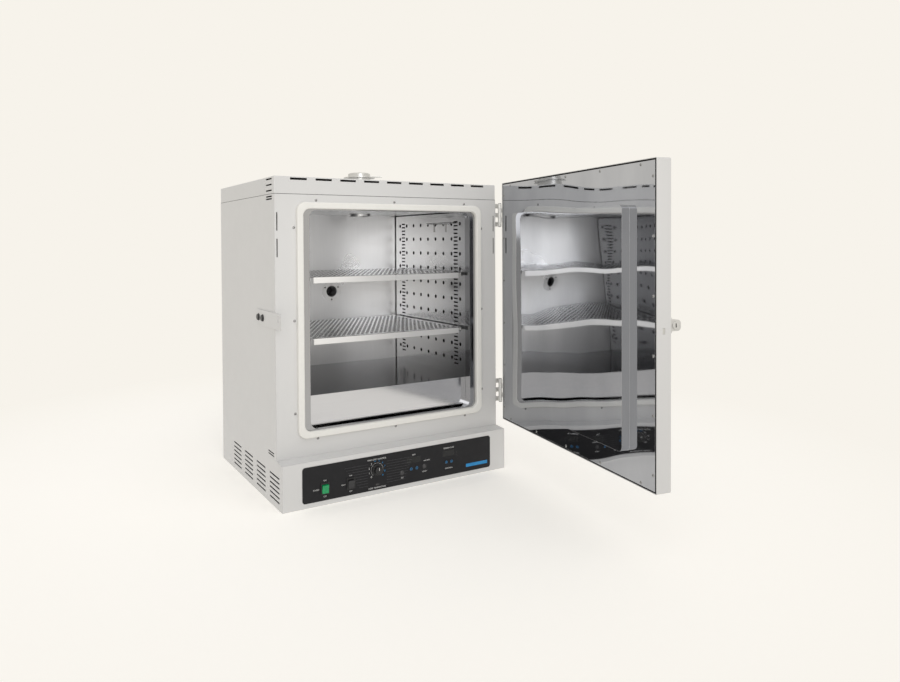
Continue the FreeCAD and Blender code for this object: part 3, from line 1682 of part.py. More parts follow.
def latch_guide():
    """Two rails inside the door that the bolt slides between."""
    rails = []
    clear = size.latch_bolt_height / 2 + size.slide_clearance
    back = DOOR_OUTER + size.door_sheet
    depth = BOLT_Y + size.latch_bolt_thick / 2 - back
    left = DOOR_FREE_EDGE + size.door_sheet
    for low in (BOLT_HEIGHT - clear - size.bracket_sheet, BOLT_HEIGHT + clear):
        corner = (left, back, low)
        rails.append(box(corner, (size.latch_guide_length, depth, size.bracket_sheet)))
    hang("latch_guide", gather(*rails))


def strike_plate():
    """Painted plate on the left side that stands forward past the closed door's edge."""
    body = new_body("StrikePlate")
    low = size.strike_bottom
    high = low + size.strike_height
    front = FRONT - size.door_gap - size.door_thickness
    back = FRONT + size.strike_reach_back
    sketch = new_sketch(body, "YZ", -HALF)
    rounded(sketch, front, low, back, high, size.strike_radius)
    pad(body, sketch, size.strike_sheet, backwards=True)
    slot = new_sketch(body, "YZ", -HALF)
    centre = HINGE_Y + BOLT_Y
    half = size.latch_bolt_thick / 2 + size.strike_slack
    rise = size.latch_bolt_height / 2 + size.strike_slack
    rectangle(slot, centre - half, BOLT_HEIGHT - rise, centre + half, BOLT_HEIGHT + rise)
    pocket(body, slot)
    keep("strike_plate", body)


def strike_screws():
    heads = []
    for setback in (size.strike_screw_front, size.strike_screw_back):
        centre = size.strike_bottom + size.strike_height / 2
        start = (-HALF - size.strike_sheet - size.strike_screw_height, FRONT + setback, centre)
        face, rim = size.strike_screw_face, size.strike_screw_radius
        heads.append(taper(start, "x", face, rim, size.strike_screw_height))
    keep("strike_screws", gather(*heads))


# Controls

def switch_frame(x):
    """Rectangular bezel with a pocket for its rocker."""
    body = new_body("SwitchFrame")
    half, rise = size.switch_width / 2, size.switch_height / 2
    rim = size.switch_rim
    flange = new_sketch(body, "XZ")
    rounded(flange, -half, -rise, half, rise, size.switch_corner)
    pad(body, flange, size.switch_proud)
    shell = new_sketch(body, "XZ")
    rectangle(shell, -half + rim, -rise + rim, half - rim, rise - rim)
    pad(body, shell, size.switch_depth, backwards=True)
    well = new_sketch(body, "XZ", size.switch_proud)
    wall = rim + size.switch_wall
    rectangle(well, -half + wall, -rise + wall, half - wall, rise - wall)
    pocket(body, well, size.switch_proud + size.switch_well)
    return put(body, x, OVERLAY_FRONT, size.switch_z)


def rocker(name, x):
    """Rocker with a shallow V face, drawn level and tipped to its off side."""
    body = new_body("Rocker")
    wall = size.switch_rim + size.switch_wall
    half = size.switch_width / 2 - wall - size.rocker_side_gap
    rise = size.switch_height / 2 - wall - size.rocker_gap
    proud = size.switch_proud + size.rocker_rise
    depth = size.rocker_axle_depth
    shoulder = rise - size.rocker_taper
    sketch = new_sketch(body, "YZ", -half)
    corners = [
        (-depth - proud, -rise),
        (-depth - proud + size.rocker_dish, as_length(0)),
        (-depth - proud, rise),
        (as_length(0), shoulder),
        (size.rocker_back, as_length(0)),
        (as_length(0), -shoulder),
    ]
    polygon(sketch, corners)
    pad(body, sketch, half * 2)
    tip = FreeCAD.Rotation(FreeCAD.Vector(1, 0, 0), number(size.rocker_half_throw))
    body.Placement = FreeCAD.Placement(FreeCAD.Vector(), tip)
    put(body, x, OVERLAY_FRONT + depth, size.switch_z)
    bind(body, "Placement.Rotation.Angle", size.rocker_half_throw)
    keep(name, body)


def limit_knob():
    """Fluted knob with a skirt, on a shaft through the panel."""
    body = new_body("LimitKnob")
    profile = new_sketch(body, "YZ")
    radius, skirt, depth = size.knob_radius, size.knob_skirt, size.knob_height
    shaft = size.knob_shaft_radius
    gap = size.turn_gap
    tail = size.overlay_sheet + size.cabinet_sheet + size.knob_shaft_reach
    corners = [
        (tail, as_length(0)),
        (tail, shaft),
        (-gap, shaft),
        (-gap, radius),
        (-gap - skirt, radius),
        (-gap - skirt - size.knob_edge, size.knob_grip_root),
        (-gap - depth + size.knob_edge, size.knob_grip_tip),
        (-gap - depth, size.knob_face_radius),
        (-gap - depth, as_length(0)),
    ]
    polygon(profile, corners)
    turn = body.newObject("PartDesign::Revolution", "Turned")
    turn.Profile = profile
    turn.ReferenceAxis = (profile, ["H_Axis"])
    turn.Angle = 360
    doc.recompute()
    flute = new_sketch(body, "XZ", gap + skirt + size.knob_edge)
    circle(flute, 0, size.flute_ring, size.flute_radius)
    groove = pocket(body, flute, depth, backwards=True)
    ring = body.newObject("PartDesign::PolarPattern", "Flutes")
    ring.Originals = [groove]
    ring.Axis = (origin_of(body, "Y_Axis"), [""])
    ring.Angle = 360
    bind(ring, "Occurrences", size.flute_count)
    body.Tip = ring
    put(body, size.knob_x, OVERLAY_FRONT, size.knob_z)
    keep("limit_knob", body)


def limit_thermostat():
    """Over-temperature thermostat behind the knob, bored for its shaft."""
    start = (size.knob_x, PANEL_BACK, size.knob_z)
    case = rod(start, "y", size.thermostat_radius, size.thermostat_depth)
    bore = rod(start, "y", size.knob_shaft_radius + size.shaft_clearance, size.thermostat_bore)
    keep("limit_thermostat", cut(case, bore))


def display_windows():
    panes = []
    depth = size.overlay_sheet + size.cabinet_sheet
    for x, width in display_places():
        corner = (x - width / 2, OVERLAY_FRONT, size.display_z - size.display_height / 2)
        panes.append(box(corner, (width, depth, size.display_height)))
    keep("display_windows", gather(*panes))


def indicator_lamps():
    lamps = []
    depth = size.overlay_sheet + size.cabinet_sheet
    for x, z, radius in lamp_places():
        barrel = rod((x, OVERLAY_FRONT, z), "y", radius, depth)
        proud = radius * DOME_RISE
        dome = taper((x, OVERLAY_FRONT - proud, z), "y", radius * DOME_FACE, radius, proud)
        lamps.append(join(barrel, dome))
    half, rise = size.neon_width / 2, size.neon_height / 2
    corner = (size.neon_x - half, OVERLAY_FRONT - size.neon_proud, size.neon_z - rise)
    lamps.append(box(corner, (size.neon_width, depth + size.neon_proud, size.neon_height)))
    keep("indicator_lamps", gather(*lamps))


BUTTON_NAMES = ("left_down_button", "left_up_button", "right_down_button", "right_up_button")


def panel_button(name, x):
    """Round cap with a stem that ends just short of the board's switch."""
    face = OVERLAY_FRONT - size.button_proud
    depth = size.overlay_sheet + size.cabinet_sheet + size.button_proud
    radius, rim = size.button_radius, size.button_crown
    cap = rod((x, face + rim, size.button_z), "y", radius, depth - rim)
    crown = taper((x, face, size.button_z), "y", size.button_face_radius, radius, rim)
    stem_start = face + depth
    stem_end = BOARD_Y - size.board_switch
    stem_length = stem_end - stem_start
    stem = rod((x, stem_start, size.button_z), "y", size.button_stem_radius, stem_length)
    keep(name, join(cap, crown, stem))


def control_board():
    """Circuit board on four spacers, with a switch body behind each button."""
    left = size.board_x - size.board_width / 2
    low = size.overlay_bottom + size.board_rise
    height = size.board_height
    plate = box((left, BOARD_Y, low), (size.board_width, size.board_sheet, height))
    inset = size.spacer_inset
    spacers = [
        rod((x, PANEL_BACK, z), "y", size.spacer_radius, size.board_setback)
        for x in (left + inset, left + size.board_width - inset)
        for z in (low + inset, low + height - inset)
    ]
    switches = []
    for x in button_places():
        half = size.board_switch_width / 2
        thick = size.board_switch - size.button_travel - size.slide_clearance
        corner = (x - half, BOARD_Y - thick, size.button_z - half)
        switches.append(box(corner, (half * 2, thick, half * 2)))
    keep("control_board", join(plate, *spacers, *switches))


def power_inlet():
    """Appliance inlet on the back: flange, body, recess and three pins."""
    x, z = size.inlet_x, size.inlet_z
    half, rise = size.inlet_width / 2, size.inlet_height / 2
    flange = box((x - half, REAR, z - rise), (size.inlet_width, size.inlet_flange, size.inlet_height))
    case_half, case_rise = half - size.inlet_rim_side, rise - size.inlet_rim_top
    depth = size.inlet_depth
    case = box((x - case_half, REAR - depth, z - case_rise), (case_half * 2, depth, case_rise * 2))
    well_half, well_rise = size.inlet_socket_width / 2, size.inlet_socket_height / 2
    bottom = REAR + size.inlet_flange - size.inlet_socket_depth
    well = box(
        (x - well_half, bottom, z - well_rise),
        (size.inlet_socket_width, size.inlet_socket_depth, size.inlet_socket_height))
    pitch, offset = size.inlet_pin_pitch, size.inlet_pin_offset
    pins = [
        rod((x + across, bottom, z + up), "y", size.inlet_pin_radius, size.inlet_pin_length)
        for across, up in ((-pitch, -offset), (0, offset), (pitch, -offset))
    ]
    keep("power_inlet", join(cut(join(flange, case), well), *pins))


# Fasteners on the casing

def face_screw_places():
    """Twelve screws around the gasket, three to a side."""
    across = FRAME_HALF + size.gasket_width + size.face_screw_side
    low = LINER_BOTTOM - size.gasket_width - size.face_screw_low
    high = FRAME_TOP + size.gasket_width + size.face_screw_high
    centre = (low + high) / 2
    step_x, step_z = size.face_screw_step_x, size.face_screw_step_z
    places = [(x, z) for x in (-step_x, as_length(0), step_x) for z in (low, high)]
    places += [(x, z) for x in (-across, across) for z in (centre - step_z, centre, centre + step_z)]
    return [(x, FRONT, z) for x, z in places]


def rear_screw_places():
    """Four screws up each rear edge, two along the top and two along the bottom."""
    margin = size.rear_screw_margin
    rise = BODY_TOP - margin * 2
    edge = HALF - margin
    places = [(x, margin + rise * step / 3) for x in (-edge, edge) for step in range(4)]
    inner = size.rear_screw_middle
    places += [(x, z) for x in (-inner, inner) for z in (margin / 2, BODY_TOP - margin)]
    return [(x, REAR, z) for x, z in places]


def cabinet_screws():
    heads = gather(screws(face_screw_places(), "y", -1), screws(rear_screw_places(), "y", 1))
    keep("cabinet_screws", heads)


def build():
    base_pan()
    side_panel("left_side_panel", -1)
    side_panel("right_side_panel", 1)
    rear_panel()
    top_cover()
    front_frame()
    control_housing()
    control_overlay()
    deck_plate()
    insulation()
    chamber_liner()
    throat_frame()
    duct_wall("left_duct_wall", -1)
    duct_wall("right_duct_wall", 1)
    floor_cover()
    heater_elements()
    heater_brackets()
    fan_wheel()
    blower_motor()
    motor_bracket()
    port_tube()
    port_screws()
    exhaust_tube()
    vent_collar()
    vent_damper()
    probe()
    probe_clips()
    shelf_clips()
    shelf("lower_shelf", size.lower_shelf_rung)
    shelf("upper_shelf", size.upper_shelf_rung)
    door_gasket()
    door_skin()
    door_liner()
    door_insulation()
    cabinet_hinge_leaves()
    door_hinge_leaves()
    hinge_pins()
    liner_screws()
    latch_housing()
    lock_cylinder()
    latch_handle()
    latch_bolt()
    latch_guide()
    strike_plate()
    strike_screws()
    places = (size.power_switch_x, size.heat_switch_x)
    keep("switch_frames", gather(*[switch_frame(x) for x in places]))
    rocker("power_rocker", size.power_switch_x)
    rocker("heat_rocker", size.heat_switch_x)
    limit_knob()
    limit_thermostat()
    display_windows()
    indicator_lamps()
    for name, x in zip(BUTTON_NAMES, button_places()):
        panel_button(name, x)
    control_board()
    power_inlet()
    cabinet_screws()


def check_model():
    """Stop before writing anything if an object failed or a solid is not sound."""
    for thing in doc.Objects:
        if "Invalid" in thing.State or "Error" in thing.State:
            raise RuntimeError("failed object: " + thing.Name + " " + thing.Label)
    for node in NODES:
        shape = node.Shape
        if shape.isNull() or not shape.Solids or not shape.isValid():
            raise RuntimeError("unsound sub-part: " + node.Label)


def write_parts():
    os.makedirs("parts", exist_ok=True)
    for node in NODES:
        node.Shape.exportStep(os.path.join("parts", node.Label + ".step"))


build()
doc.recompute()
check_model()
write_parts()
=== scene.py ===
import math

import bmesh
import bpy
from mathutils import Matrix, Vector


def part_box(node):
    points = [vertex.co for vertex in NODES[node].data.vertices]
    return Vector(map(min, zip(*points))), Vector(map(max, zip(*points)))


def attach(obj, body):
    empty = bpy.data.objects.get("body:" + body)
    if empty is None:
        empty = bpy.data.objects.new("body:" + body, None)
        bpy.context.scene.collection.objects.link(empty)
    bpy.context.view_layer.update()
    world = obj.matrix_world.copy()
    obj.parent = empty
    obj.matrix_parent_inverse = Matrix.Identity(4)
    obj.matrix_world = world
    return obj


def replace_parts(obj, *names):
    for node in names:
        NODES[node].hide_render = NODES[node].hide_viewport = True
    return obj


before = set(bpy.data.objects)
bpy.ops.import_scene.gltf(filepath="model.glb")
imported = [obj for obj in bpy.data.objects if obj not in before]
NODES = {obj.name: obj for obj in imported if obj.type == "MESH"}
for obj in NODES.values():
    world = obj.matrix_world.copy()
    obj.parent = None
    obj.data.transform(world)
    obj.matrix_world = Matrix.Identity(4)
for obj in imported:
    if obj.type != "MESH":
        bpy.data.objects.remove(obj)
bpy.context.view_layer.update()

# One millimetre in metres
MM = 0.001

# Points closer than this are one point
WELD = 1e-6

# Places that the CAD pieces give
OVERLAY_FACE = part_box("control_overlay")[0][1]
FLOOR_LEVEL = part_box("base_pan")[0][2]
SEAM_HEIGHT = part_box("top_cover")[0][2]
DUCT_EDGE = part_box("right_duct_wall")[0][0] + 2.0 * MM


# Node helpers

NOISE_ROUGHNESS = 0.55
PATTERN_LOW, PATTERN_HIGH = 0.3, 0.7
BEVEL_SAMPLES = 4

# Sockets of a mix node in its colour mode
MIX_FACTOR, MIX_FIRST, MIX_SECOND = 0, 6, 7
MIX_RESULT = 2


def add_node(tree, kind, inputs=None, **settings):
    """A shader node with its settings and inputs; a socket as a value is linked."""
    made = tree.nodes.new(kind)
    for name, value in settings.items():
        setattr(made, name, value)
    for name, value in (inputs or {}).items():
        if isinstance(value, bpy.types.NodeSocket):
            tree.links.new(value, made.inputs[name])
        else:
            made.inputs[name].default_value = value
    return made


def calculate(tree, operation, *values):
    """The result of one math node on up to three values."""
    return add_node(tree, "ShaderNodeMath", dict(enumerate(values)), operation=operation).outputs[0]


def coordinates(tree, scale=(1.0, 1.0, 1.0)):
    """Object coordinates in metres, stretched by scale."""
    source = add_node(tree, "ShaderNodeTexCoord").outputs["Object"]
    return add_node(tree, "ShaderNodeMapping", {"Vector": source, "Scale": scale}).outputs["Vector"]


def along(tree, vector, axis):
    """A vector's share along one axis."""
    return add_node(tree, "ShaderNodeSeparateXYZ", {0: vector}).outputs[axis]


def noise(tree, scale, detail=2.0, stretch=(1.0, 1.0, 1.0)):
    """A soft pattern of values from 0 to 1."""
    place = coordinates(tree, stretch)
    inputs = {"Vector": place, "Scale": scale, "Detail": detail, "Roughness": NOISE_ROUGHNESS}
    return add_node(tree, "ShaderNodeTexNoise", inputs).outputs["Fac"]


def spread(tree, source, low, high, start=PATTERN_LOW, end=PATTERN_HIGH):
    """Map what a pattern mostly holds, from start to end, to the range from low to high."""
    inputs = {"Value": source, "From Min": start, "From Max": end, "To Min": low, "To Max": high}
    return add_node(tree, "ShaderNodeMapRange", inputs).outputs["Result"]


def scaled(color, factor):
    """A colour made darker or lighter."""
    return tuple(channel * factor for channel in color)


def tint(tree, pattern, dark, light):
    """A colour between two, as the pattern goes from low to high."""
    share = spread(tree, pattern, 0.0, 1.0)
    inputs = {MIX_FACTOR: share, MIX_FIRST: (*dark, 1.0), MIX_SECOND: (*light, 1.0)}
    return add_node(tree, "ShaderNodeMix", inputs, data_type="RGBA").outputs[MIX_RESULT]


def shaded(tree, mask, base, factor):
    """The base colour, darkened by the factor where the mask is 1."""
    settings = {"data_type": "RGBA", "blend_type": "MULTIPLY"}
    inputs = {MIX_FACTOR: mask, MIX_FIRST: base, MIX_SECOND: (factor, factor, factor, 1.0)}
    return add_node(tree, "ShaderNodeMix", inputs, **settings).outputs[MIX_RESULT]


def bump(tree, height, distance, strength=1.0, normal=None):
    """Normals raised by a pattern, on top of other normals if these are given."""
    inputs = {"Height": height, "Distance": distance, "Strength": strength}
    if normal is not None:
        inputs["Normal"] = normal
    return add_node(tree, "ShaderNodeBump", inputs).outputs["Normal"]


def soft_edges(tree, radius):
    """Normals that round the piece's edges by a small radius."""
    return add_node(tree, "ShaderNodeBevel", {"Radius": radius}, samples=BEVEL_SAMPLES).outputs["Normal"]


def surface(name, metallic=0.0, **fixed):
    """A material with its shader; fixed values go straight on the shader's sockets."""
    material = bpy.data.materials.new(name)
    material.use_nodes = True
    shader = material.node_tree.nodes["Principled BSDF"]
    shader.inputs["Metallic"].default_value = metallic
    for socket, value in fixed.items():
        shader.inputs[socket.replace("_", " ")].default_value = value
    return material, material.node_tree, shader


def wire(tree, shader, **sources):
    """Link the sources to the shader's sockets of the same names."""
    for socket, source in sources.items():
        tree.links.new(source, shader.inputs[socket.replace("_", " ")])


# Materials

# Painted shadow in the seam below the cap: its half width and the factor that darkens it
SEAM_REACH = 0.8 * MM
SEAM_SHADE = 0.16
# Painted shade on the liner behind the duct walls
DUCT_SHADE = 0.04

# Painted shade: faces that look this far up, and the factor that darkens them
PAINTED_RIM_SHADE = (0.0, 0.10)
PAINTED_TOP_SHADE = (1.0, 0.52)
FACING_REACH = 0.5


def painted(name, color, grain=900.0, seam=False):
    """Powder-coated sheet: orange peel, faint clouding and, if asked, a painted shadow at the cap's
    seam.
    """
    material, tree, shader = surface(name)
    cloud = noise(tree, scale=2.5, detail=3.0)
    base = tint(tree, cloud, scaled(color, 0.985), scaled(color, 1.01))
    if seam:
        # Painted shadow: a thin dark band at the height of the cap's lower edge
        height = along(tree, coordinates(tree), "Z")
        line = calculate(tree, "COMPARE", height, SEAM_HEIGHT, SEAM_REACH)
        base = shaded(tree, line, base, SEAM_SHADE)
    rough = spread(tree, noise(tree, scale=35.0, detail=3.0), low=0.40, high=0.50)
    peel = noise(tree, scale=grain)
    normal = bump(tree, peel, distance=0.06 * MM, strength=0.6, normal=soft_edges(tree, 1.2 * MM))
    wire(tree, shader, Base_Color=base, Roughness=rough, Normal=normal)
    return material


def brushed(name, color, stretch, rough, wave=0.0, shade_beyond=0.0, shade=None, rim=1.0):
    """Brushed sheet steel: fine scratches, soft smudges and a little waviness.

    Painted shade darkens the steel farther than shade_beyond from the middle, behind the duct
    walls, and on the faces that shade names. A low rim dims what it reflects at a glancing angle.
    """
    material, tree, shader = surface(name, metallic=1.0, Specular_Tint=(rim, rim, rim, 1.0))
    streak = noise(tree, scale=1.0, stretch=stretch)
    base = tint(tree, streak, scaled(color, 0.975), color)
    # Painted shade: the liner behind the duct walls is made nearly black
    if shade_beyond:
        distance = calculate(tree, "ABSOLUTE", along(tree, coordinates(tree), "X"))
        beyond = calculate(tree, "GREATER_THAN", distance, shade_beyond)
        base = shaded(tree, beyond, base, DUCT_SHADE)
    # Painted shade: faces that look the named way are darkened by the factor
    if shade:
        direction, factor = shade
        flat = add_node(tree, "ShaderNodeNewGeometry").outputs["True Normal"]
        facing = calculate(tree, "COMPARE", along(tree, flat, "Z"), direction, FACING_REACH)
        base = shaded(tree, facing, base, factor)
    roughness = spread(tree, noise(tree, scale=4.0), *rough)
    normal = soft_edges(tree, 0.6 * MM)
    if wave:
        normal = bump(tree, noise(tree, scale=3.2, detail=1.0), distance=wave, normal=normal)
    wire(tree, shader, Base_Color=base, Roughness=roughness, Normal=normal)
    return material


def mirror_sheet(name, dark, light):
    """Bright-annealed door sheet that reflects the oven in slow waves."""
    material, tree, shader = surface(name, metallic=1.0)
    smear = noise(tree, scale=6.0, detail=5.0, stretch=(1.0, 1.0, 0.35))
    base = tint(tree, smear, dark, light)
    rough = spread(tree, smear, low=0.015, high=0.04)
    swell = noise(tree, scale=3.2, detail=0.5, stretch=(1.0, 1.0, 0.8))
    waves = bump(tree, swell, distance=20.0 * MM, strength=0.6, normal=soft_edges(tree, 0.8 * MM))
    lines = noise(tree, scale=1.0, detail=3.0, stretch=(30.0, 30.0, 900.0))
    normal = bump(tree, lines, distance=0.01 * MM, strength=0.3, normal=waves)
    wire(tree, shader, Base_Color=base, Roughness=rough, Normal=normal)
    return material


def rubber(name, color):
    """Moulded silicone with a dusty, slightly mottled skin."""
    material, tree, shader = surface(name, Specular_IOR_Level=0.35)
    mottle = noise(tree, scale=60.0, detail=4.0)
    base = tint(tree, mottle, scaled(color, 0.985), scaled(color, 1.01))
    rough = spread(tree, noise(tree, scale=25.0), low=0.5, high=0.62)
    normal = bump(tree, noise(tree, scale=900.0, detail=3.0), distance=0.01 * MM, strength=0.4)
    wire(tree, shader, Base_Color=base, Roughness=rough, Normal=normal)
    return material


def plastic(name, color, rough=(0.3, 0.4), grain=700.0, depth=0.04 * MM, shine=0.4):
    """Moulded plastic with a spark-eroded grain and faint handling marks."""
    material, tree, shader = surface(name, Specular_IOR_Level=shine)
    mottle = noise(tree, scale=50.0, detail=3.0)
    base = tint(tree, mottle, scaled(color, 0.9), scaled(color, 1.08))
    roughness = spread(tree, noise(tree, scale=120.0, detail=4.0), *rough)
    skin = noise(tree, scale=grain)
    normal = bump(tree, skin, distance=depth, strength=0.6, normal=soft_edges(tree, 0.4 * MM))
    wire(tree, shader, Base_Color=base, Roughness=roughness, Normal=normal)
    return material


def lit_plastic(name, color, glow):
    """Translucent lens with a weak lamp behind it; on print the glow is painted light, with no lamp."""
    material, tree, shader = surface(name, Emission_Strength=glow, Emission_Color=(*color, 1.0))
    base = tint(tree, noise(tree, scale=90.0), scaled(color, 0.85), color)
    roughness = spread(tree, noise(tree, scale=200.0), low=0.12, high=0.22)
    wire(tree, shader, Base_Color=base, Roughness=roughness, Normal=soft_edges(tree, 0.5 * MM))
    return material


def cast_metal(name, color, rough=(0.3, 0.45)):
    """Turned or cast alloy with fine tool marks."""
    material, tree, shader = surface(name, metallic=1.0)
    marks = noise(tree, scale=1.0, detail=3.0, stretch=(250.0, 250.0, 1500.0))
    base = tint(tree, noise(tree, scale=40.0, detail=3.0), scaled(color, 0.88), color)
    roughness = spread(tree, marks, *rough)
    normal = bump(tree, marks, distance=0.02 * MM, strength=0.5, normal=soft_edges(tree, 0.5 * MM))
    wire(tree, shader, Base_Color=base, Roughness=roughness, Normal=normal)
    return material


def wool(name, dark, light):
    """Mineral wool coloured near black: painted shade for the dark that the slots and gaps show."""
    material, tree, shader = surface(name, Specular_IOR_Level=0.1)
    fibre = noise(tree, scale=260.0, detail=6.0)
    base = tint(tree, fibre, dark, light)
    rough = spread(tree, fibre, low=0.85, high=0.98)
    normal = bump(tree, fibre, distance=1.0 * MM, strength=0.8)
    wire(tree, shader, Base_Color=base, Roughness=rough, Normal=normal)
    return material


PAINT = (0.668, 0.664, 0.658)
STEEL = (0.86, 0.863, 0.875)

# How the scratches are drawn out, for the three kinds of sheet
UPRIGHT = (240.0, 240.0, 6.0)
ACROSS = (6.0, 240.0, 240.0)
EVEN = (200.0, 200.0, 200.0)

MATERIALS = {
    "paint": painted("powder_coat", PAINT, seam=True),
    "door_paint": painted("door_coat", PAINT),
    "wall": brushed("brushed_upright", (0.68, 0.685, 0.70), UPRIGHT, rough=(0.13, 0.17)),
    "liner": brushed(
        "brushed_liner", STEEL, UPRIGHT, rough=(0.26, 0.34), wave=0.6 * MM, shade_beyond=DUCT_EDGE),
    "bright": brushed("bright_steel", (0.42, 0.423, 0.435), UPRIGHT, rough=(0.06, 0.12)),
    "ring": cast_metal("port_alloy", (0.88, 0.88, 0.885), rough=(0.40, 0.50)),
    "shelf": brushed(
        "brushed_shelf", (0.88, 0.885, 0.895), ACROSS, rough=(0.20, 0.28), shade=PAINTED_RIM_SHADE),
    "lip": brushed("brushed_lip", (0.90, 0.90, 0.905), ACROSS, rough=(0.34, 0.44)),
    "floor": brushed(
        "brushed_floor", (0.64, 0.643, 0.665), ACROSS, rough=(0.10, 0.16), wave=0.6 * MM,
        shade=PAINTED_TOP_SHADE, rim=0.55),
    "door": mirror_sheet("bright_sheet", dark=(0.41, 0.42, 0.445), light=(0.50, 0.51, 0.535)),
    "plated": brushed("plated_steel", (0.62, 0.62, 0.60), EVEN, rough=(0.3, 0.45)),
    "alloy": cast_metal("cast_alloy", (0.66, 0.66, 0.65)),
    "hinge": cast_metal("hinge_steel", (0.80, 0.80, 0.79), rough=(0.50, 0.60)),
    "screw": cast_metal("screw_steel", (0.36, 0.36, 0.36), rough=(0.18, 0.32)),
    "gasket": rubber("silicone", (0.80, 0.79, 0.755)),
    "panel": plastic(
        "panel_film", (0.014, 0.014, 0.016), rough=(0.34, 0.44), grain=1400.0, depth=0.02 * MM,
        shine=0.22),
    "black": plastic("black_plastic", (0.016, 0.016, 0.017)),
    "grey": plastic("grey_plastic", (0.035, 0.035, 0.037), rough=(0.16, 0.24)),
    "green": lit_plastic("green_lens", (0.01, 0.30, 0.10), glow=0.12),
    # Blue print with a faint glow: painted light, as no lamp is behind it
    "blue": lit_plastic("blue_print_painted_glow", (0.01, 0.24, 0.55), glow=0.08),
    "lens": lit_plastic("clear_lens", (0.05, 0.05, 0.052), glow=0.0),
    "window": plastic(
        "dark_window", (0.010, 0.011, 0.012), rough=(0.06, 0.12), grain=300.0, depth=0.01 * MM),
    "board": plastic("circuit_board", (0.03, 0.18, 0.07)),
    "motor": painted("motor_paint", (0.05, 0.05, 0.055), grain=500.0),
    "wool": wool("mineral_wool", dark=(0.004, 0.004, 0.005), light=(0.020, 0.019, 0.018)),
    "print": plastic(
        "white_print", (0.78, 0.78, 0.77), rough=(0.5, 0.6), grain=900.0, depth=0.01 * MM),
    "line": plastic(
        "grey_print", (0.085, 0.085, 0.09), rough=(0.5, 0.6), grain=900.0, depth=0.01 * MM),
}

NODE_MATERIALS = {
    "paint": [
        "left_side_panel", "right_side_panel", "rear_panel", "top_cover", "front_frame",
        "control_housing",
    ],
    "door_paint": ["door_skin", "strike_plate"],
    "liner": ["chamber_liner", "exhaust_tube"],
    "bright": ["throat_frame"],
    "ring": ["port_tube"],
    "wall": ["left_duct_wall", "right_duct_wall"],
    "shelf": ["upper_shelf", "lower_shelf", "shelf_clips"],
    "floor": ["floor_cover"],
    "door": ["door_liner"],
    "plated": [
        "deck_plate", "heater_brackets", "fan_wheel", "motor_bracket", "latch_bolt", "latch_guide",
        "heater_elements",
    ],
    "hinge": ["cabinet_hinge_leaves", "door_hinge_leaves"],
    "alloy": ["vent_collar", "vent_damper", "latch_housing", "lock_cylinder"],
    "screw": [
        "hinge_pins", "liner_screws", "cabinet_screws", "port_screws", "probe_clips",
        "probe",
    ],
    "gasket": ["door_gasket"],
    "panel": ["control_overlay"],
    "black": [
        "switch_frames", "limit_knob", "limit_thermostat", "power_inlet", "strike_screws",
        "latch_handle", "left_down_button", "left_up_button", "right_down_button", "right_up_button",
    ],
    "grey": ["heat_rocker"],
    "green": ["power_rocker"],
    "lens": ["indicator_lamps"],
    "window": ["display_windows"],
    "board": ["control_board"],
    # The base pan takes the charcoal motor paint as painted shade, so the louvres read black
    "motor": ["blower_motor", "base_pan"],
    "wool": ["insulation", "door_insulation"],
}


def paint_frame():
    """Give each CAD piece its material."""
    for key, names in NODE_MATERIALS.items():
        for name in names:
            for slot in NODES[name].material_slots:
                slot.material = MATERIALS[key]


# Mesh helpers

BEVEL_SEGMENTS = 2
BEVEL_ANGLE = 40


def finish_piece(name, builder, material, body):
    """Turn a bmesh into a named piece that rides on a body."""
    mesh = bpy.data.meshes.new(name)
    builder.normal_update()
    builder.to_mesh(mesh)
    builder.free()
    piece = bpy.data.objects.new(name, mesh)
    bpy.context.scene.collection.objects.link(piece)
    mesh.materials.append(MATERIALS[material])
    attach(piece, body)
    return piece


def add_box(builder, low, high):
    """Eight corners and six faces between two opposite corners."""
    corners = [
        builder.verts.new((x, y, z))
        for z in (low[2], high[2])
        for y in (low[1], high[1])
        for x in (low[0], high[0])
    ]
    for face in ((0, 2, 3, 1), (4, 5, 7, 6), (0, 1, 5, 4), (2, 6, 7, 3), (0, 4, 6, 2), (1, 3, 7, 5)):
        builder.faces.new([corners[index] for index in face])


def circle(radius, sides):
    """Points of a circle round the origin as (across, up)."""
    turns = [2 * math.pi * step / sides for step in range(sides)]
    return [(radius * math.cos(turn), radius * math.sin(turn)) for turn in turns]


def front_circle(builder, centre, radius, sides):
    """Vertices of a circle that faces the front."""
    x, y, z = centre
    return [builder.verts.new((x + across, y, z + up)) for across, up in circle(radius, sides)]


def bridge(builder, loops):
    """Faces between each loop of vertices and the next."""
    for first, second in zip(loops, loops[1:]):
        for step in range(len(first)):
            following = (step + 1) % len(first)
            builder.faces.new((first[step], first[following], second[following], second[step]))


def join_outlines(builder, front, rear):
    """Faces between the matching corners of a front and a rear outline."""
    for index in range(len(front)):
        following = (index + 1) % len(front)
        builder.faces.new((front[index], rear[index], rear[following], front[following]))


def bevel(piece, width):
    """Round the sharp edges."""
    modifier = piece.modifiers.new("edge", "BEVEL")
    modifier.width = width
    modifier.segments = BEVEL_SEGMENTS
    modifier.limit_method = "ANGLE"
    modifier.angle_limit = math.radians(BEVEL_ANGLE)
    modifier.harden_normals = False


def smooth(piece):
    """Shade all faces smooth."""
    for face in piece.data.polygons:
        face.use_smooth = True


# Shelves

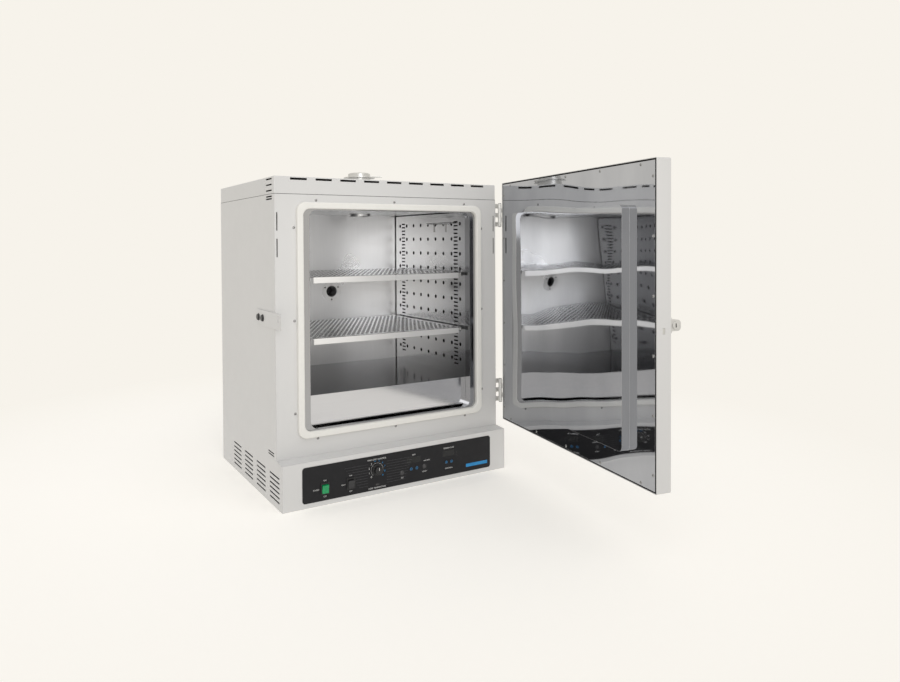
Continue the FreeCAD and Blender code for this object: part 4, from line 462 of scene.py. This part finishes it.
HOLE_PITCH = 16.0 * MM
HOLE_ROW = 13.9 * MM
HOLE_RADIUS = 5.3 * MM
CELL_SIDES = 6
HOLE_CORNERS = 2 * CELL_SIDES
CORNER_TURN = 360 / HOLE_CORNERS
FIRST_CORNER = 210
SHELF_BORDER = 10.0 * MM
SHELF_SHEET = 1.2 * MM
SHELF_LIP = 12.0 * MM
SHELF_HEM = 4.0 * MM
SHELF_FRONT_INSET = 10.0 * MM
LIP_EDGE = 0.35 * MM


class PointStore:
    """Vertices shared by position."""

    def __init__(self, builder):
        self.builder = builder
        self.known = {}

    def at(self, x, y, z):
        key = (round(x, 6), round(y, 6))
        if key not in self.known:
            self.known[key] = self.builder.verts.new((x, y, z))
        return self.known[key]


def holed_cell(face, x, y):
    """Six faces between a cell's outline and its twelve-sided hole."""
    half = HOLE_PITCH / 2
    outline = [
        (x, y), (x + half, y), (x + HOLE_PITCH, y),
        (x + HOLE_PITCH, y + HOLE_ROW), (x + half, y + HOLE_ROW), (x, y + HOLE_ROW),
    ]
    centre = (x + half, y + HOLE_ROW / 2)
    turns = [math.radians(FIRST_CORNER + CORNER_TURN * step) for step in range(HOLE_CORNERS + 1)]
    rim = [
        (centre[0] + HOLE_RADIUS * math.cos(turn), centre[1] + HOLE_RADIUS * math.sin(turn))
        for turn in turns
    ]
    for side in range(CELL_SIDES):
        first, second = outline[side], outline[(side + 1) % CELL_SIDES]
        face([first, second, rim[2 * side + 2], rim[2 * side + 1], rim[2 * side]])


def perforated_sheet(builder, low, high, level):
    """A flat sheet with staggered round holes and a plain border."""
    store = PointStore(builder)
    columns = int((high[0] - low[0] - 2 * SHELF_BORDER) / HOLE_PITCH)
    rows = int((high[1] - low[1] - 2 * SHELF_BORDER) / HOLE_ROW)
    left = (low[0] + high[0] - columns * HOLE_PITCH) / 2
    front = (low[1] + high[1] - rows * HOLE_ROW) / 2
    half = HOLE_PITCH / 2
    right, back = left + columns * HOLE_PITCH, front + rows * HOLE_ROW

    def face(points):
        builder.faces.new([store.at(x, y, level) for x, y in points])

    for row in range(rows):
        y = front + row * HOLE_ROW
        shift = half * (row % 2)
        for column in range(columns - row % 2):
            holed_cell(face, left + shift + column * HOLE_PITCH, y)
        if row % 2:
            for x in (left, right - half):
                face([(x, y), (x + half, y), (x + half, y + HOLE_ROW), (x, y + HOLE_ROW)])
        face([(low[0], y), (left, y), (left, y + HOLE_ROW), (low[0], y + HOLE_ROW)])
        face([(right, y), (high[0], y), (high[0], y + HOLE_ROW), (right, y + HOLE_ROW)])
    steps = [left + half * step for step in range(2 * columns + 1)]
    for near, far in ((low[1], front), (back, high[1])):
        bounds = [low[0]] + steps + [high[0]]
        for start, end in zip(bounds, bounds[1:]):
            face([(start, near), (end, near), (end, far), (start, far)])


def shelf_top(name, node, body):
    """The perforated sheet with its thickness."""
    low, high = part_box(node)
    builder = bmesh.new()
    perforated_sheet(builder, low, high, high[2])
    piece = finish_piece(name, builder, "shelf", body)
    sheet = piece.modifiers.new("sheet", "SOLIDIFY")
    sheet.thickness = SHELF_SHEET
    sheet.offset = -1.0
    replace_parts(piece, node)


def shelf_lips(name, node, body):
    """The folded edges: a deep front with a hem, shallower sides and back."""
    low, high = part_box(node)
    top, bottom = high[2] - SHELF_SHEET, high[2] - SHELF_LIP
    left, right = low[0] + SHELF_FRONT_INSET, high[0] - SHELF_FRONT_INSET
    inner_left, inner_right = low[0] + SHELF_SHEET, high[0] - SHELF_SHEET
    inner_front, inner_back = low[1] + SHELF_SHEET, high[1] - SHELF_SHEET
    builder = bmesh.new()
    add_box(builder, (left, low[1], low[2]), (right, inner_front, top))
    add_box(builder, (low[0], inner_front, bottom), (inner_left, high[1], top))
    add_box(builder, (inner_right, inner_front, bottom), (high[0], high[1], top))
    add_box(builder, (inner_left, inner_back, bottom), (inner_right, high[1], top))
    hem_back, hem_top = inner_front + SHELF_HEM, low[2] + SHELF_SHEET
    add_box(builder, (left, inner_front, low[2]), (right, hem_back, hem_top))
    bevel(finish_piece(name, builder, "lip", body), LIP_EDGE)


def make_shelves():
    """Dress both shelves."""
    for level in ("upper", "lower"):
        node, body = level + "_shelf", "shelf_" + level
        shelf_top(level + "_shelf_sheet", node, body)
        shelf_lips(level + "_shelf_lips", node, body)


# Duct walls and access port

HOLE_SIDES = 20
DUCT_SHEET = 1.2 * MM
DUCT_HOLE = 6.4 * MM
DUCT_PITCH = 50.8 * MM
DUCT_COLUMNS, DUCT_ROWS = 9, 10
FIRST_HOLE = (29.0 * MM, 150.0 * MM)
RUNG_WIDTH, RUNG_HEIGHT = 24.0 * MM, 5.0 * MM
RUNG_PITCH = 13.0 * MM
RUNG_COUNT = 38
FIRST_RUNG = 133.0 * MM
WINDOW_MARGIN = 24.0 * MM
WINDOW_TOP = 72.0 * MM

# The ladders stand halfway between the first two and the last two columns of holes
LADDER_COLUMNS = (0.5, DUCT_COLUMNS - 1.5)

# The port's stopper as pairs of a radius and a distance from the port's rear end
STOPPER_SIDES = 48
STOPPER_PROFILE = [
    (0.0, 12.0 * MM), (17.0 * MM, 12.0 * MM), (19.0 * MM, 10.5 * MM),
    (20.3 * MM, 0.6 * MM), (19.6 * MM, 0.0), (0.0, 0.0),
]


def outline_curve(curve, points):
    """A closed straight-sided outline in the curve's own plane."""
    spline = curve.splines.new("POLY")
    spline.points.add(len(points) - 1)
    for point, (across, up) in zip(spline.points, points):
        point.co = (across, up, 0.0, 1.0)
    spline.use_cyclic_u = True


def corners_of(left, low, right, high):
    """The four corners of a rectangle."""
    return [(left, low), (right, low), (right, high), (left, high)]


def draw_web(curve, depth, height):
    """The web's outline, its air window, its grid of holes and its two ladders of slots."""
    outline_curve(curve, corners_of(0.0, 0.0, depth, height))
    outline_curve(curve, corners_of(WINDOW_MARGIN, WINDOW_MARGIN, depth - WINDOW_MARGIN, WINDOW_TOP))
    rim = circle(DUCT_HOLE, HOLE_SIDES)
    for column in range(DUCT_COLUMNS):
        for row in range(DUCT_ROWS):
            x, z = FIRST_HOLE[0] + column * DUCT_PITCH, FIRST_HOLE[1] + row * DUCT_PITCH
            outline_curve(curve, [(x + across, z + up) for across, up in rim])
    for ladder in LADDER_COLUMNS:
        x = FIRST_HOLE[0] + ladder * DUCT_PITCH
        left, right = x - RUNG_WIDTH / 2, x + RUNG_WIDTH / 2
        for rung in range(RUNG_COUNT):
            z = FIRST_RUNG + rung * RUNG_PITCH
            outline_curve(curve, corners_of(left, z - RUNG_HEIGHT / 2, right, z + RUNG_HEIGHT / 2))


def duct_sheet(name, node, side):
    """A duct wall: the perforated web, and a folded edge at its front and its back."""
    low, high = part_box(node)
    curve = bpy.data.curves.new(name, "CURVE")
    curve.dimensions = "2D"
    curve.fill_mode = "BOTH"
    curve.extrude = DUCT_SHEET / 2
    draw_web(curve, high[1] - low[1], high[2] - low[2])
    drawn = bpy.data.objects.new(name, curve)
    sheet = bpy.data.meshes.new_from_object(drawn)
    bpy.data.objects.remove(drawn)
    face = low[0] if side > 0 else high[0]
    middle = face + side * DUCT_SHEET / 2
    upright = Matrix(((0.0, 0.0, 1.0), (1.0, 0.0, 0.0), (0.0, 1.0, 0.0))).to_4x4()
    sheet.transform(Matrix.Translation((middle, low[1], low[2])) @ upright)
    builder = bmesh.new()
    builder.from_mesh(sheet)
    web = face + side * DUCT_SHEET
    near, far = sorted((web, low[0] + high[0] - face))
    for start in (low[1], high[1] - DUCT_SHEET):
        add_box(builder, (near, start, low[2]), (far, start + DUCT_SHEET, high[2]))
    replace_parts(finish_piece(name, builder, "wall", "cabinet"), node)


def port_stopper():
    """A black rubber stopper seen deep in the access port."""
    low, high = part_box("port_tube")
    x, z = (low[0] + high[0]) / 2, (low[2] + high[2]) / 2
    builder = bmesh.new()
    loops = [
        front_circle(builder, (x, high[1] - inward, z), radius, STOPPER_SIDES)
        for radius, inward in STOPPER_PROFILE
    ]
    bridge(builder, loops)
    bmesh.ops.remove_doubles(builder, verts=builder.verts, dist=WELD)
    bmesh.ops.recalc_face_normals(builder, faces=builder.faces)
    smooth(finish_piece("port_stopper", builder, "black", "cabinet"))


# Screw heads

HEAD_SIDES = 24
HEAD_RINGS = 5
HEAD_TURN = 37.0
HEAD_SPLIT = 35
CASE_HEAD = 4.0 * MM
PORT_HEAD = 3.2 * MM
HEAD_HEIGHT = 2.0 * MM

# The cross recess as shares of the head's radius and height
RECESS_REACH, RECESS_HALF = 0.55, 0.11
RECESS_FLOOR, RECESS_TOP = 0.45, 1.5

# The port's screws on the inside lie in front of this, those on the outside behind it
PORT_MIDDLE = 0.27
OPEN_TURN = Matrix.Rotation(math.radians(80.0), 3, "Z")


def to_mesh(name, builder):
    """Turn a bmesh into a mesh and free it."""
    mesh = bpy.data.meshes.new(name)
    builder.to_mesh(mesh)
    builder.free()
    return mesh


def screw_head(radius, height):
    """A domed head with a cross recess, standing on the XY plane."""
    builder = bmesh.new()
    loops = []
    for ring in range(HEAD_RINGS):
        angle = math.radians(90.0 * ring / HEAD_RINGS)
        outline = circle(radius * math.cos(angle), HEAD_SIDES)
        loops.append([builder.verts.new((x, y, height * math.sin(angle))) for x, y in outline])
    bridge(builder, loops)
    builder.faces.new(loops[-1])
    builder.faces.new(list(reversed(loops[0])))
    head = to_mesh("head", builder)
    cutter = bmesh.new()
    reach, half = radius * RECESS_REACH, radius * RECESS_HALF
    add_box(
        cutter, (-reach, -half, height * RECESS_FLOOR), (reach, half, height * RECESS_TOP))
    slot = to_mesh("slot", cutter)
    return carve(head, [(slot, 0.0), (slot, 90.0)])


def carve(mesh, cutters):
    """Cut turned copies of small meshes out of a mesh and return the result."""
    scene = bpy.context.scene
    base = bpy.data.objects.new("carved", mesh)
    scene.collection.objects.link(base)
    tools = []
    for cutter, degrees in cutters:
        tool = bpy.data.objects.new("cutter", cutter)
        tool.rotation_euler = (0.0, 0.0, math.radians(degrees))
        scene.collection.objects.link(tool)
        tools.append(tool)
        cut = base.modifiers.new("cut", "BOOLEAN")
        cut.operation = "DIFFERENCE"
        cut.solver = "EXACT"
        cut.object = tool
    bpy.context.view_layer.update()
    result = bpy.data.meshes.new_from_object(base.evaluated_get(bpy.context.evaluated_depsgraph_get()))
    for thing in tools + [base]:
        bpy.data.objects.remove(thing)
    return result


def centres_of_solids(node):
    """The centres of a node's separate solids, in a fixed order."""
    source = bmesh.new()
    source.from_mesh(NODES[node].data)
    bmesh.ops.remove_doubles(source, verts=source.verts, dist=WELD)
    left = set(source.verts)
    found = []
    while left:
        start = left.pop()
        group, queue = [start], [start]
        while queue:
            for edge in queue.pop().link_edges:
                for vert in edge.verts:
                    if vert in left:
                        left.remove(vert)
                        group.append(vert)
                        queue.append(vert)
        low = Vector([min(vert.co[axis] for vert in group) for axis in range(3)])
        high = Vector([max(vert.co[axis] for vert in group) for axis in range(3)])
        found.append((low + high) / 2)
    source.free()
    return sorted(found, key=lambda centre: tuple(round(value, 5) for value in centre))


def make_screws(name, node, body, radius, outward):
    """Domed heads in place of a node's plain ones; outward gives each head's direction."""
    head = screw_head(radius, HEAD_HEIGHT)
    builder = bmesh.new()
    for index, centre in enumerate(centres_of_solids(node)):
        direction = outward(centre)
        twist = Matrix.Rotation(math.radians(HEAD_TURN * index), 3, "Z").to_quaternion()
        turn = direction.to_track_quat("Z", "Y") @ twist
        foot = centre - direction * (HEAD_HEIGHT / 2)
        copy = head.copy()
        copy.transform(Matrix.Translation(foot) @ turn.to_matrix().to_4x4())
        builder.from_mesh(copy)
    piece = finish_piece(name, builder, "screw", body)
    smooth(piece)
    edges = piece.modifiers.new("flat", "EDGE_SPLIT")
    edges.split_angle = math.radians(HEAD_SPLIT)
    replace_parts(piece, node)


def make_all_screws():
    """Dress the screws of the cabinet, the open door and the access port."""
    front, back = Vector((0.0, -1.0, 0.0)), Vector((0.0, 1.0, 0.0))
    inward = OPEN_TURN @ back
    make_screws(
        "cabinet_screw_heads", "cabinet_screws", "cabinet", CASE_HEAD,
        lambda centre: front if centre.y < 0 else back)
    make_screws("liner_screw_heads", "liner_screws", "door", CASE_HEAD, lambda centre: inward)
    make_screws(
        "port_screw_heads", "port_screws", "cabinet", PORT_HEAD,
        lambda centre: front if centre.y < PORT_MIDDLE else back)


# Printed panel, with places and sizes on it in millimetres

PRINT_LIFT = 0.06 * MM
FONT_SHARE = 1.35

# Each label's name and words, its centre and the height of its letters
LABELS = [
    ("on_power", "ON", -259.0, 71.5, 4.2),
    ("off_power", "OFF", -259.0, 25.5, 4.2),
    ("word_power", "POWER", -286.5, 47.5, 4.0),
    ("on_heat", "ON", -177.5, 71.5, 4.2),
    ("off_heat", "OFF", -177.5, 25.5, 4.2),
    ("word_heat", "HEAT", -201.0, 47.5, 4.0),
    ("word_limit", "HIGH LIMIT CONTROL", -90.5, 105.5, 4.6),
    ("word_safety", "OVER TEMPERATURE", -90.5, 20.5, 4.6),
    ("word_reset", "SET", -3.8, 34.5, 4.0),
    ("word_actual", "TIME", 37.0, 98.5, 4.4),
    ("word_alarm", "HEATING", 84.0, 74.5, 4.0),
    ("word_silence", "READY", 76.0, 41.5, 4.0),
    ("word_temperature", "TEMPERATURE", 165.5, 100.5, 4.6),
    ("word_control", "CONTROL", 165.5, 36.5, 4.4),
]

# Thin rules on both sides of the dial; each one higher up reaches farther out
RULE_COUNT = 9
RULE_LOW, RULE_PITCH, RULE_HEIGHT = 30.0, 8.0, 0.5
LEFT_RULE, LEFT_GROWTH = (-150.0, -122.0), 6.0
RIGHT_RULE, RIGHT_GROWTH = (-58.0, 4.0), 4.0
BLANK_PLATE = (232.0, 28.0, 316.0, 38.5)
PLATE_EDGE = 0.02 * MM

# The dial and the pointer line on its knob
DIAL_X, DIAL_Z = -90.5, 74.0
DIAL_START = 225.0
NUMBER_COUNT, NUMBER_TURN = 10, 30.0
NUMBER_RADIUS, NUMBER_HEIGHT = 27.0, 6.0
WHITE_NUMBERS = 4
TICK_COUNT, TICK_TURN = 28, 10.0
TICK_INNER, TICK_OUTER, TICK_HALF = 19.0, 21.0, 0.35
POINTER_HALF, POINTER_START, POINTER_END = 0.7, 1.0, 9.5
POINTER_PROUD, POINTER_SUNK = 0.15 * MM, 0.2 * MM
POINTER_EDGE = 0.1 * MM

# Each button, its body and whether its arrow points up
BUTTONS = [
    ("left_down_button", "button_left_down", False),
    ("left_up_button", "button_left_up", True),
    ("right_down_button", "button_right_down", False),
    ("right_up_button", "button_right_up", True),
]
MARK_SIDES = 36
MARK_LIFT = 0.12 * MM
MARK_OUTER, MARK_INNER = 4.2 * MM, 3.3 * MM
ARROW = [(-1.5 * MM, -1.1 * MM), (1.5 * MM, -1.1 * MM), (0.0, 1.7 * MM)]


def panel_text(name, words, x, z, height, material="print"):
    """Words centred on a point of the control panel."""
    curve = bpy.data.curves.new(name, "FONT")
    curve.body = words
    curve.size = height * MM * FONT_SHARE
    curve.align_x = "CENTER"
    curve.align_y = "CENTER"
    curve.extrude = PRINT_LIFT / 2
    curve.materials.append(MATERIALS[material])
    piece = bpy.data.objects.new(name, curve)
    piece.location = (x * MM, OVERLAY_FACE - PRINT_LIFT / 2, z * MM)
    piece.rotation_euler = (math.radians(90), 0.0, 0.0)
    bpy.context.scene.collection.objects.link(piece)
    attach(piece, "cabinet")


def panel_bar(builder, left, low, right, high):
    """A thin raised rectangle on the control panel."""
    add_box(
        builder,
        (left * MM, OVERLAY_FACE - PRINT_LIFT, low * MM),
        (right * MM, OVERLAY_FACE, high * MM))


def make_print():
    """The labels, the rules beside the dial and the plain blue plate."""
    for label in LABELS:
        panel_text(*label)
    rules = bmesh.new()
    for step in range(RULE_COUNT):
        low = RULE_LOW + step * RULE_PITCH
        high = low + RULE_HEIGHT
        panel_bar(rules, LEFT_RULE[0] - LEFT_GROWTH * step, low, LEFT_RULE[1], high)
        panel_bar(rules, RIGHT_RULE[0], low, RIGHT_RULE[1] + RIGHT_GROWTH * step, high)
    finish_piece("panel_rules", rules, "line", "cabinet")
    plate = bmesh.new()
    panel_bar(plate, *BLANK_PLATE)
    bevel(finish_piece("blank_plate", plate, "blue", "cabinet"), PLATE_EDGE)


def dial_numbers():
    """Plain numbers round the knob, the first ones white and the others blue."""
    for step in range(NUMBER_COUNT):
        turn = math.radians(DIAL_START - NUMBER_TURN * step)
        x = DIAL_X + NUMBER_RADIUS * math.cos(turn)
        z = DIAL_Z + NUMBER_RADIUS * math.sin(turn)
        material = "print" if step < WHITE_NUMBERS else "blue"
        panel_text("dial_%d" % step, str(step), x, z, NUMBER_HEIGHT, material)


def dial_ticks():
    """Short raised lines round the knob."""
    ring = bmesh.new()
    outline = [
        (TICK_INNER, -TICK_HALF), (TICK_OUTER, -TICK_HALF),
        (TICK_OUTER, TICK_HALF), (TICK_INNER, TICK_HALF),
    ]
    for step in range(TICK_COUNT):
        turn = math.radians(DIAL_START - TICK_TURN * step)
        corners = []
        for radius, side in outline:
            x = DIAL_X + radius * math.cos(turn) - side * math.sin(turn)
            z = DIAL_Z + radius * math.sin(turn) + side * math.cos(turn)
            corners.append((x * MM, z * MM))
        front = [ring.verts.new((x, OVERLAY_FACE - PRINT_LIFT, z)) for x, z in corners]
        rear = [ring.verts.new((x, OVERLAY_FACE, z)) for x, z in corners]
        ring.faces.new(front)
        join_outlines(ring, front, rear)
    bmesh.ops.recalc_face_normals(ring, faces=ring.faces)
    finish_piece("dial_ticks", ring, "print", "cabinet")


def knob_pointer():
    """The white line on the knob's face."""
    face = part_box("limit_knob")[0][1]
    pointer = bmesh.new()
    add_box(
        pointer,
        ((DIAL_X - POINTER_HALF) * MM, face - POINTER_PROUD, (DIAL_Z + POINTER_START) * MM),
        ((DIAL_X + POINTER_HALF) * MM, face + POINTER_SUNK, (DIAL_Z + POINTER_END) * MM))
    bevel(finish_piece("knob_pointer", pointer, "print", "knob"), POINTER_EDGE)


def button_mark(node, body, sign):
    """A blue ring and an arrow on a button; a sign of 1 points the arrow up."""
    low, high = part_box(node)
    x, z, face = (low[0] + high[0]) / 2, (low[2] + high[2]) / 2, low[1]
    raised = face - MARK_LIFT
    builder = bmesh.new()
    section = [(MARK_OUTER, face), (MARK_OUTER, raised), (MARK_INNER, raised), (MARK_INNER, face)]
    loops = [front_circle(builder, (x, y, z), radius, MARK_SIDES) for radius, y in section]
    bridge(builder, loops + loops[:1])
    front = [builder.verts.new((x + across, raised, z + sign * up)) for across, up in ARROW]
    rear = [builder.verts.new((x + across, face, z + sign * up)) for across, up in ARROW]
    builder.faces.new(front)
    builder.faces.new(rear)
    join_outlines(builder, front, rear)
    bmesh.ops.recalc_face_normals(builder, faces=builder.faces)
    finish_piece(node + "_mark", builder, "blue", body)


def make_button_marks():
    """Mark all four buttons."""
    for node, body, up in BUTTONS:
        button_mark(node, body, 1.0 if up else -1.0)


# Stage, light and camera

CREAM = (0.9301, 0.8963, 0.8308)
FLOOR_PAPER = (0.900, 0.870, 0.810)
FLOOR_LIFT = 0.27
FLOOR_CLEAR, FLOOR_FADE = 0.9, 1.9
FLOOR_REACH = 60.0
AMBIENT = 0.60
AMBIENT_COLOR = (1.0, 0.99, 0.975)

KEY_ENERGY = 0.74
KEY_ANGLE = 80
KEY_PLACE, KEY_TARGET = (-0.3, -1.9, 2.7), (0.0, 0.0, 0.0)

OVEN_ENERGY = 0.75
OVEN_SPREAD = 50
OVEN_WIDTH, OVEN_HEIGHT = 0.9, 0.7
OVEN_PLACE, OVEN_TARGET = (-0.4, -1.9, 1.1), (0.0, 0.2, 0.55)

FOCAL_PIXELS = 700.1
CENTRE_X, CENTRE_Y = 406.2, 254.4
IMAGE_WIDTH, IMAGE_HEIGHT = 900.0, 682.0
SENSOR = 36.0
FARTHEST = 200.0
CAMERA_PLACE = (-1.0525, -2.1448, 0.7543)
YAW, PITCH, ROLL = 0.524, -0.018, -0.006


def floor_material():
    """Paper that is lit near the object and fades to the plain backdrop colour."""
    material = bpy.data.materials.new("floor_paper")
    material.use_nodes = True
    tree = material.node_tree
    tree.nodes.clear()
    lit = add_node(tree, "ShaderNodeBsdfDiffuse", {"Color": (*FLOOR_PAPER, 1.0)}).outputs["BSDF"]
    lift = add_node(tree, "ShaderNodeEmission", {"Strength": FLOOR_LIFT}).outputs["Emission"]
    lit = add_node(tree, "ShaderNodeAddShader", {0: lit, 1: lift}).outputs[0]
    plain = add_node(tree, "ShaderNodeEmission", {"Color": (*CREAM, 1.0)}).outputs["Emission"]
    place = add_node(tree, "ShaderNodeTexCoord").outputs["Object"]
    distance = add_node(tree, "ShaderNodeVectorMath", {0: place}, operation="LENGTH").outputs["Value"]
    fade = spread(tree, distance, 0.0, 1.0, FLOOR_CLEAR, FLOOR_FADE)
    mixed = add_node(tree, "ShaderNodeMixShader", {0: fade, 1: lit, 2: plain}).outputs[0]
    add_node(tree, "ShaderNodeOutputMaterial", {"Surface": mixed})
    return material


def make_floor():
    """A wide flat sheet that the oven stands on."""
    builder = bmesh.new()
    corners = corners_of(-FLOOR_REACH, -FLOOR_REACH, FLOOR_REACH, FLOOR_REACH)
    builder.faces.new([builder.verts.new((x, y, FLOOR_LEVEL)) for x, y in corners])
    mesh = to_mesh("floor", builder)
    floor = bpy.data.objects.new("floor", mesh)
    bpy.context.scene.collection.objects.link(floor)
    mesh.materials.append(floor_material())


def make_world():
    """Soft even light, with the backdrop colour where it is seen or mirrored."""
    world = bpy.data.worlds.new("studio")
    bpy.context.scene.world = world
    world.use_nodes = True
    tree = world.node_tree
    tree.nodes.clear()
    path = add_node(tree, "ShaderNodeLightPath").outputs
    seen = calculate(tree, "MAXIMUM", path["Is Camera Ray"], path["Is Glossy Ray"])
    seen = calculate(tree, "MAXIMUM", seen, path["Is Transmission Ray"])
    soft = {"Color": (*AMBIENT_COLOR, 1.0), "Strength": AMBIENT}
    ambient = add_node(tree, "ShaderNodeBackground", soft).outputs[0]
    backdrop = {"Color": (*CREAM, 1.0), "Strength": 1.0}
    plain = add_node(tree, "ShaderNodeBackground", backdrop).outputs[0]
    mixed = add_node(tree, "ShaderNodeMixShader", {0: seen, 1: ambient, 2: plain}).outputs[0]
    add_node(tree, "ShaderNodeOutputWorld", {"Surface": mixed})


def aim(name, light, place, target):
    """Put a light in its place and turn it to its target."""
    lamp = bpy.data.objects.new(name, light)
    bpy.context.scene.collection.objects.link(lamp)
    lamp.location = place
    direction = Vector(target) - Vector(place)
    lamp.rotation_euler = direction.to_track_quat("-Z", "Y").to_euler()


def make_lights():
    """A broad high key that lights the floor evenly, and a soft light into the oven."""
    key = bpy.data.lights.new("key", "SUN")
    key.energy = KEY_ENERGY
    key.angle = math.radians(KEY_ANGLE)
    aim("key", key, KEY_PLACE, KEY_TARGET)
    oven = bpy.data.lights.new("oven_light", "AREA")
    oven.shape = "RECTANGLE"
    oven.size, oven.size_y = OVEN_WIDTH, OVEN_HEIGHT
    oven.energy = OVEN_ENERGY
    oven.spread = math.radians(OVEN_SPREAD)
    aim("oven_light", oven, OVEN_PLACE, OVEN_TARGET)


def make_camera():
    """The camera fitted to the cabinet's edges in the photograph."""
    data = bpy.data.cameras.new("camera")
    data.sensor_fit = "HORIZONTAL"
    data.sensor_width = SENSOR
    data.lens = FOCAL_PIXELS / IMAGE_WIDTH * SENSOR
    data.shift_x = (IMAGE_WIDTH / 2 - CENTRE_X) / IMAGE_WIDTH
    data.shift_y = (CENTRE_Y - IMAGE_HEIGHT / 2) / IMAGE_WIDTH
    data.clip_end = FARTHEST
    camera = bpy.data.objects.new("camera", data)
    bpy.context.scene.collection.objects.link(camera)
    ahead = Vector((math.sin(YAW) * math.cos(PITCH), math.cos(YAW) * math.cos(PITCH), math.sin(PITCH)))
    level = Vector((math.cos(YAW), -math.sin(YAW), 0.0))
    upright = level.cross(ahead)
    right = level * math.cos(ROLL) + upright * math.sin(ROLL)
    up = upright * math.cos(ROLL) - level * math.sin(ROLL)
    axes = Matrix((right, up, -ahead)).transposed()
    camera.matrix_world = Matrix.Translation(CAMERA_PLACE) @ axes.to_4x4()
    bpy.context.scene.camera = camera


make_camera()
make_world()
make_lights()
make_floor()
bpy.context.scene.view_settings.view_transform = "Standard"
paint_frame()
make_shelves()
duct_sheet("left_duct_sheet", "left_duct_wall", -1)
duct_sheet("right_duct_sheet", "right_duct_wall", 1)
port_stopper()
make_all_screws()
make_print()
dial_numbers()
dial_ticks()
knob_pointer()
make_button_marks()
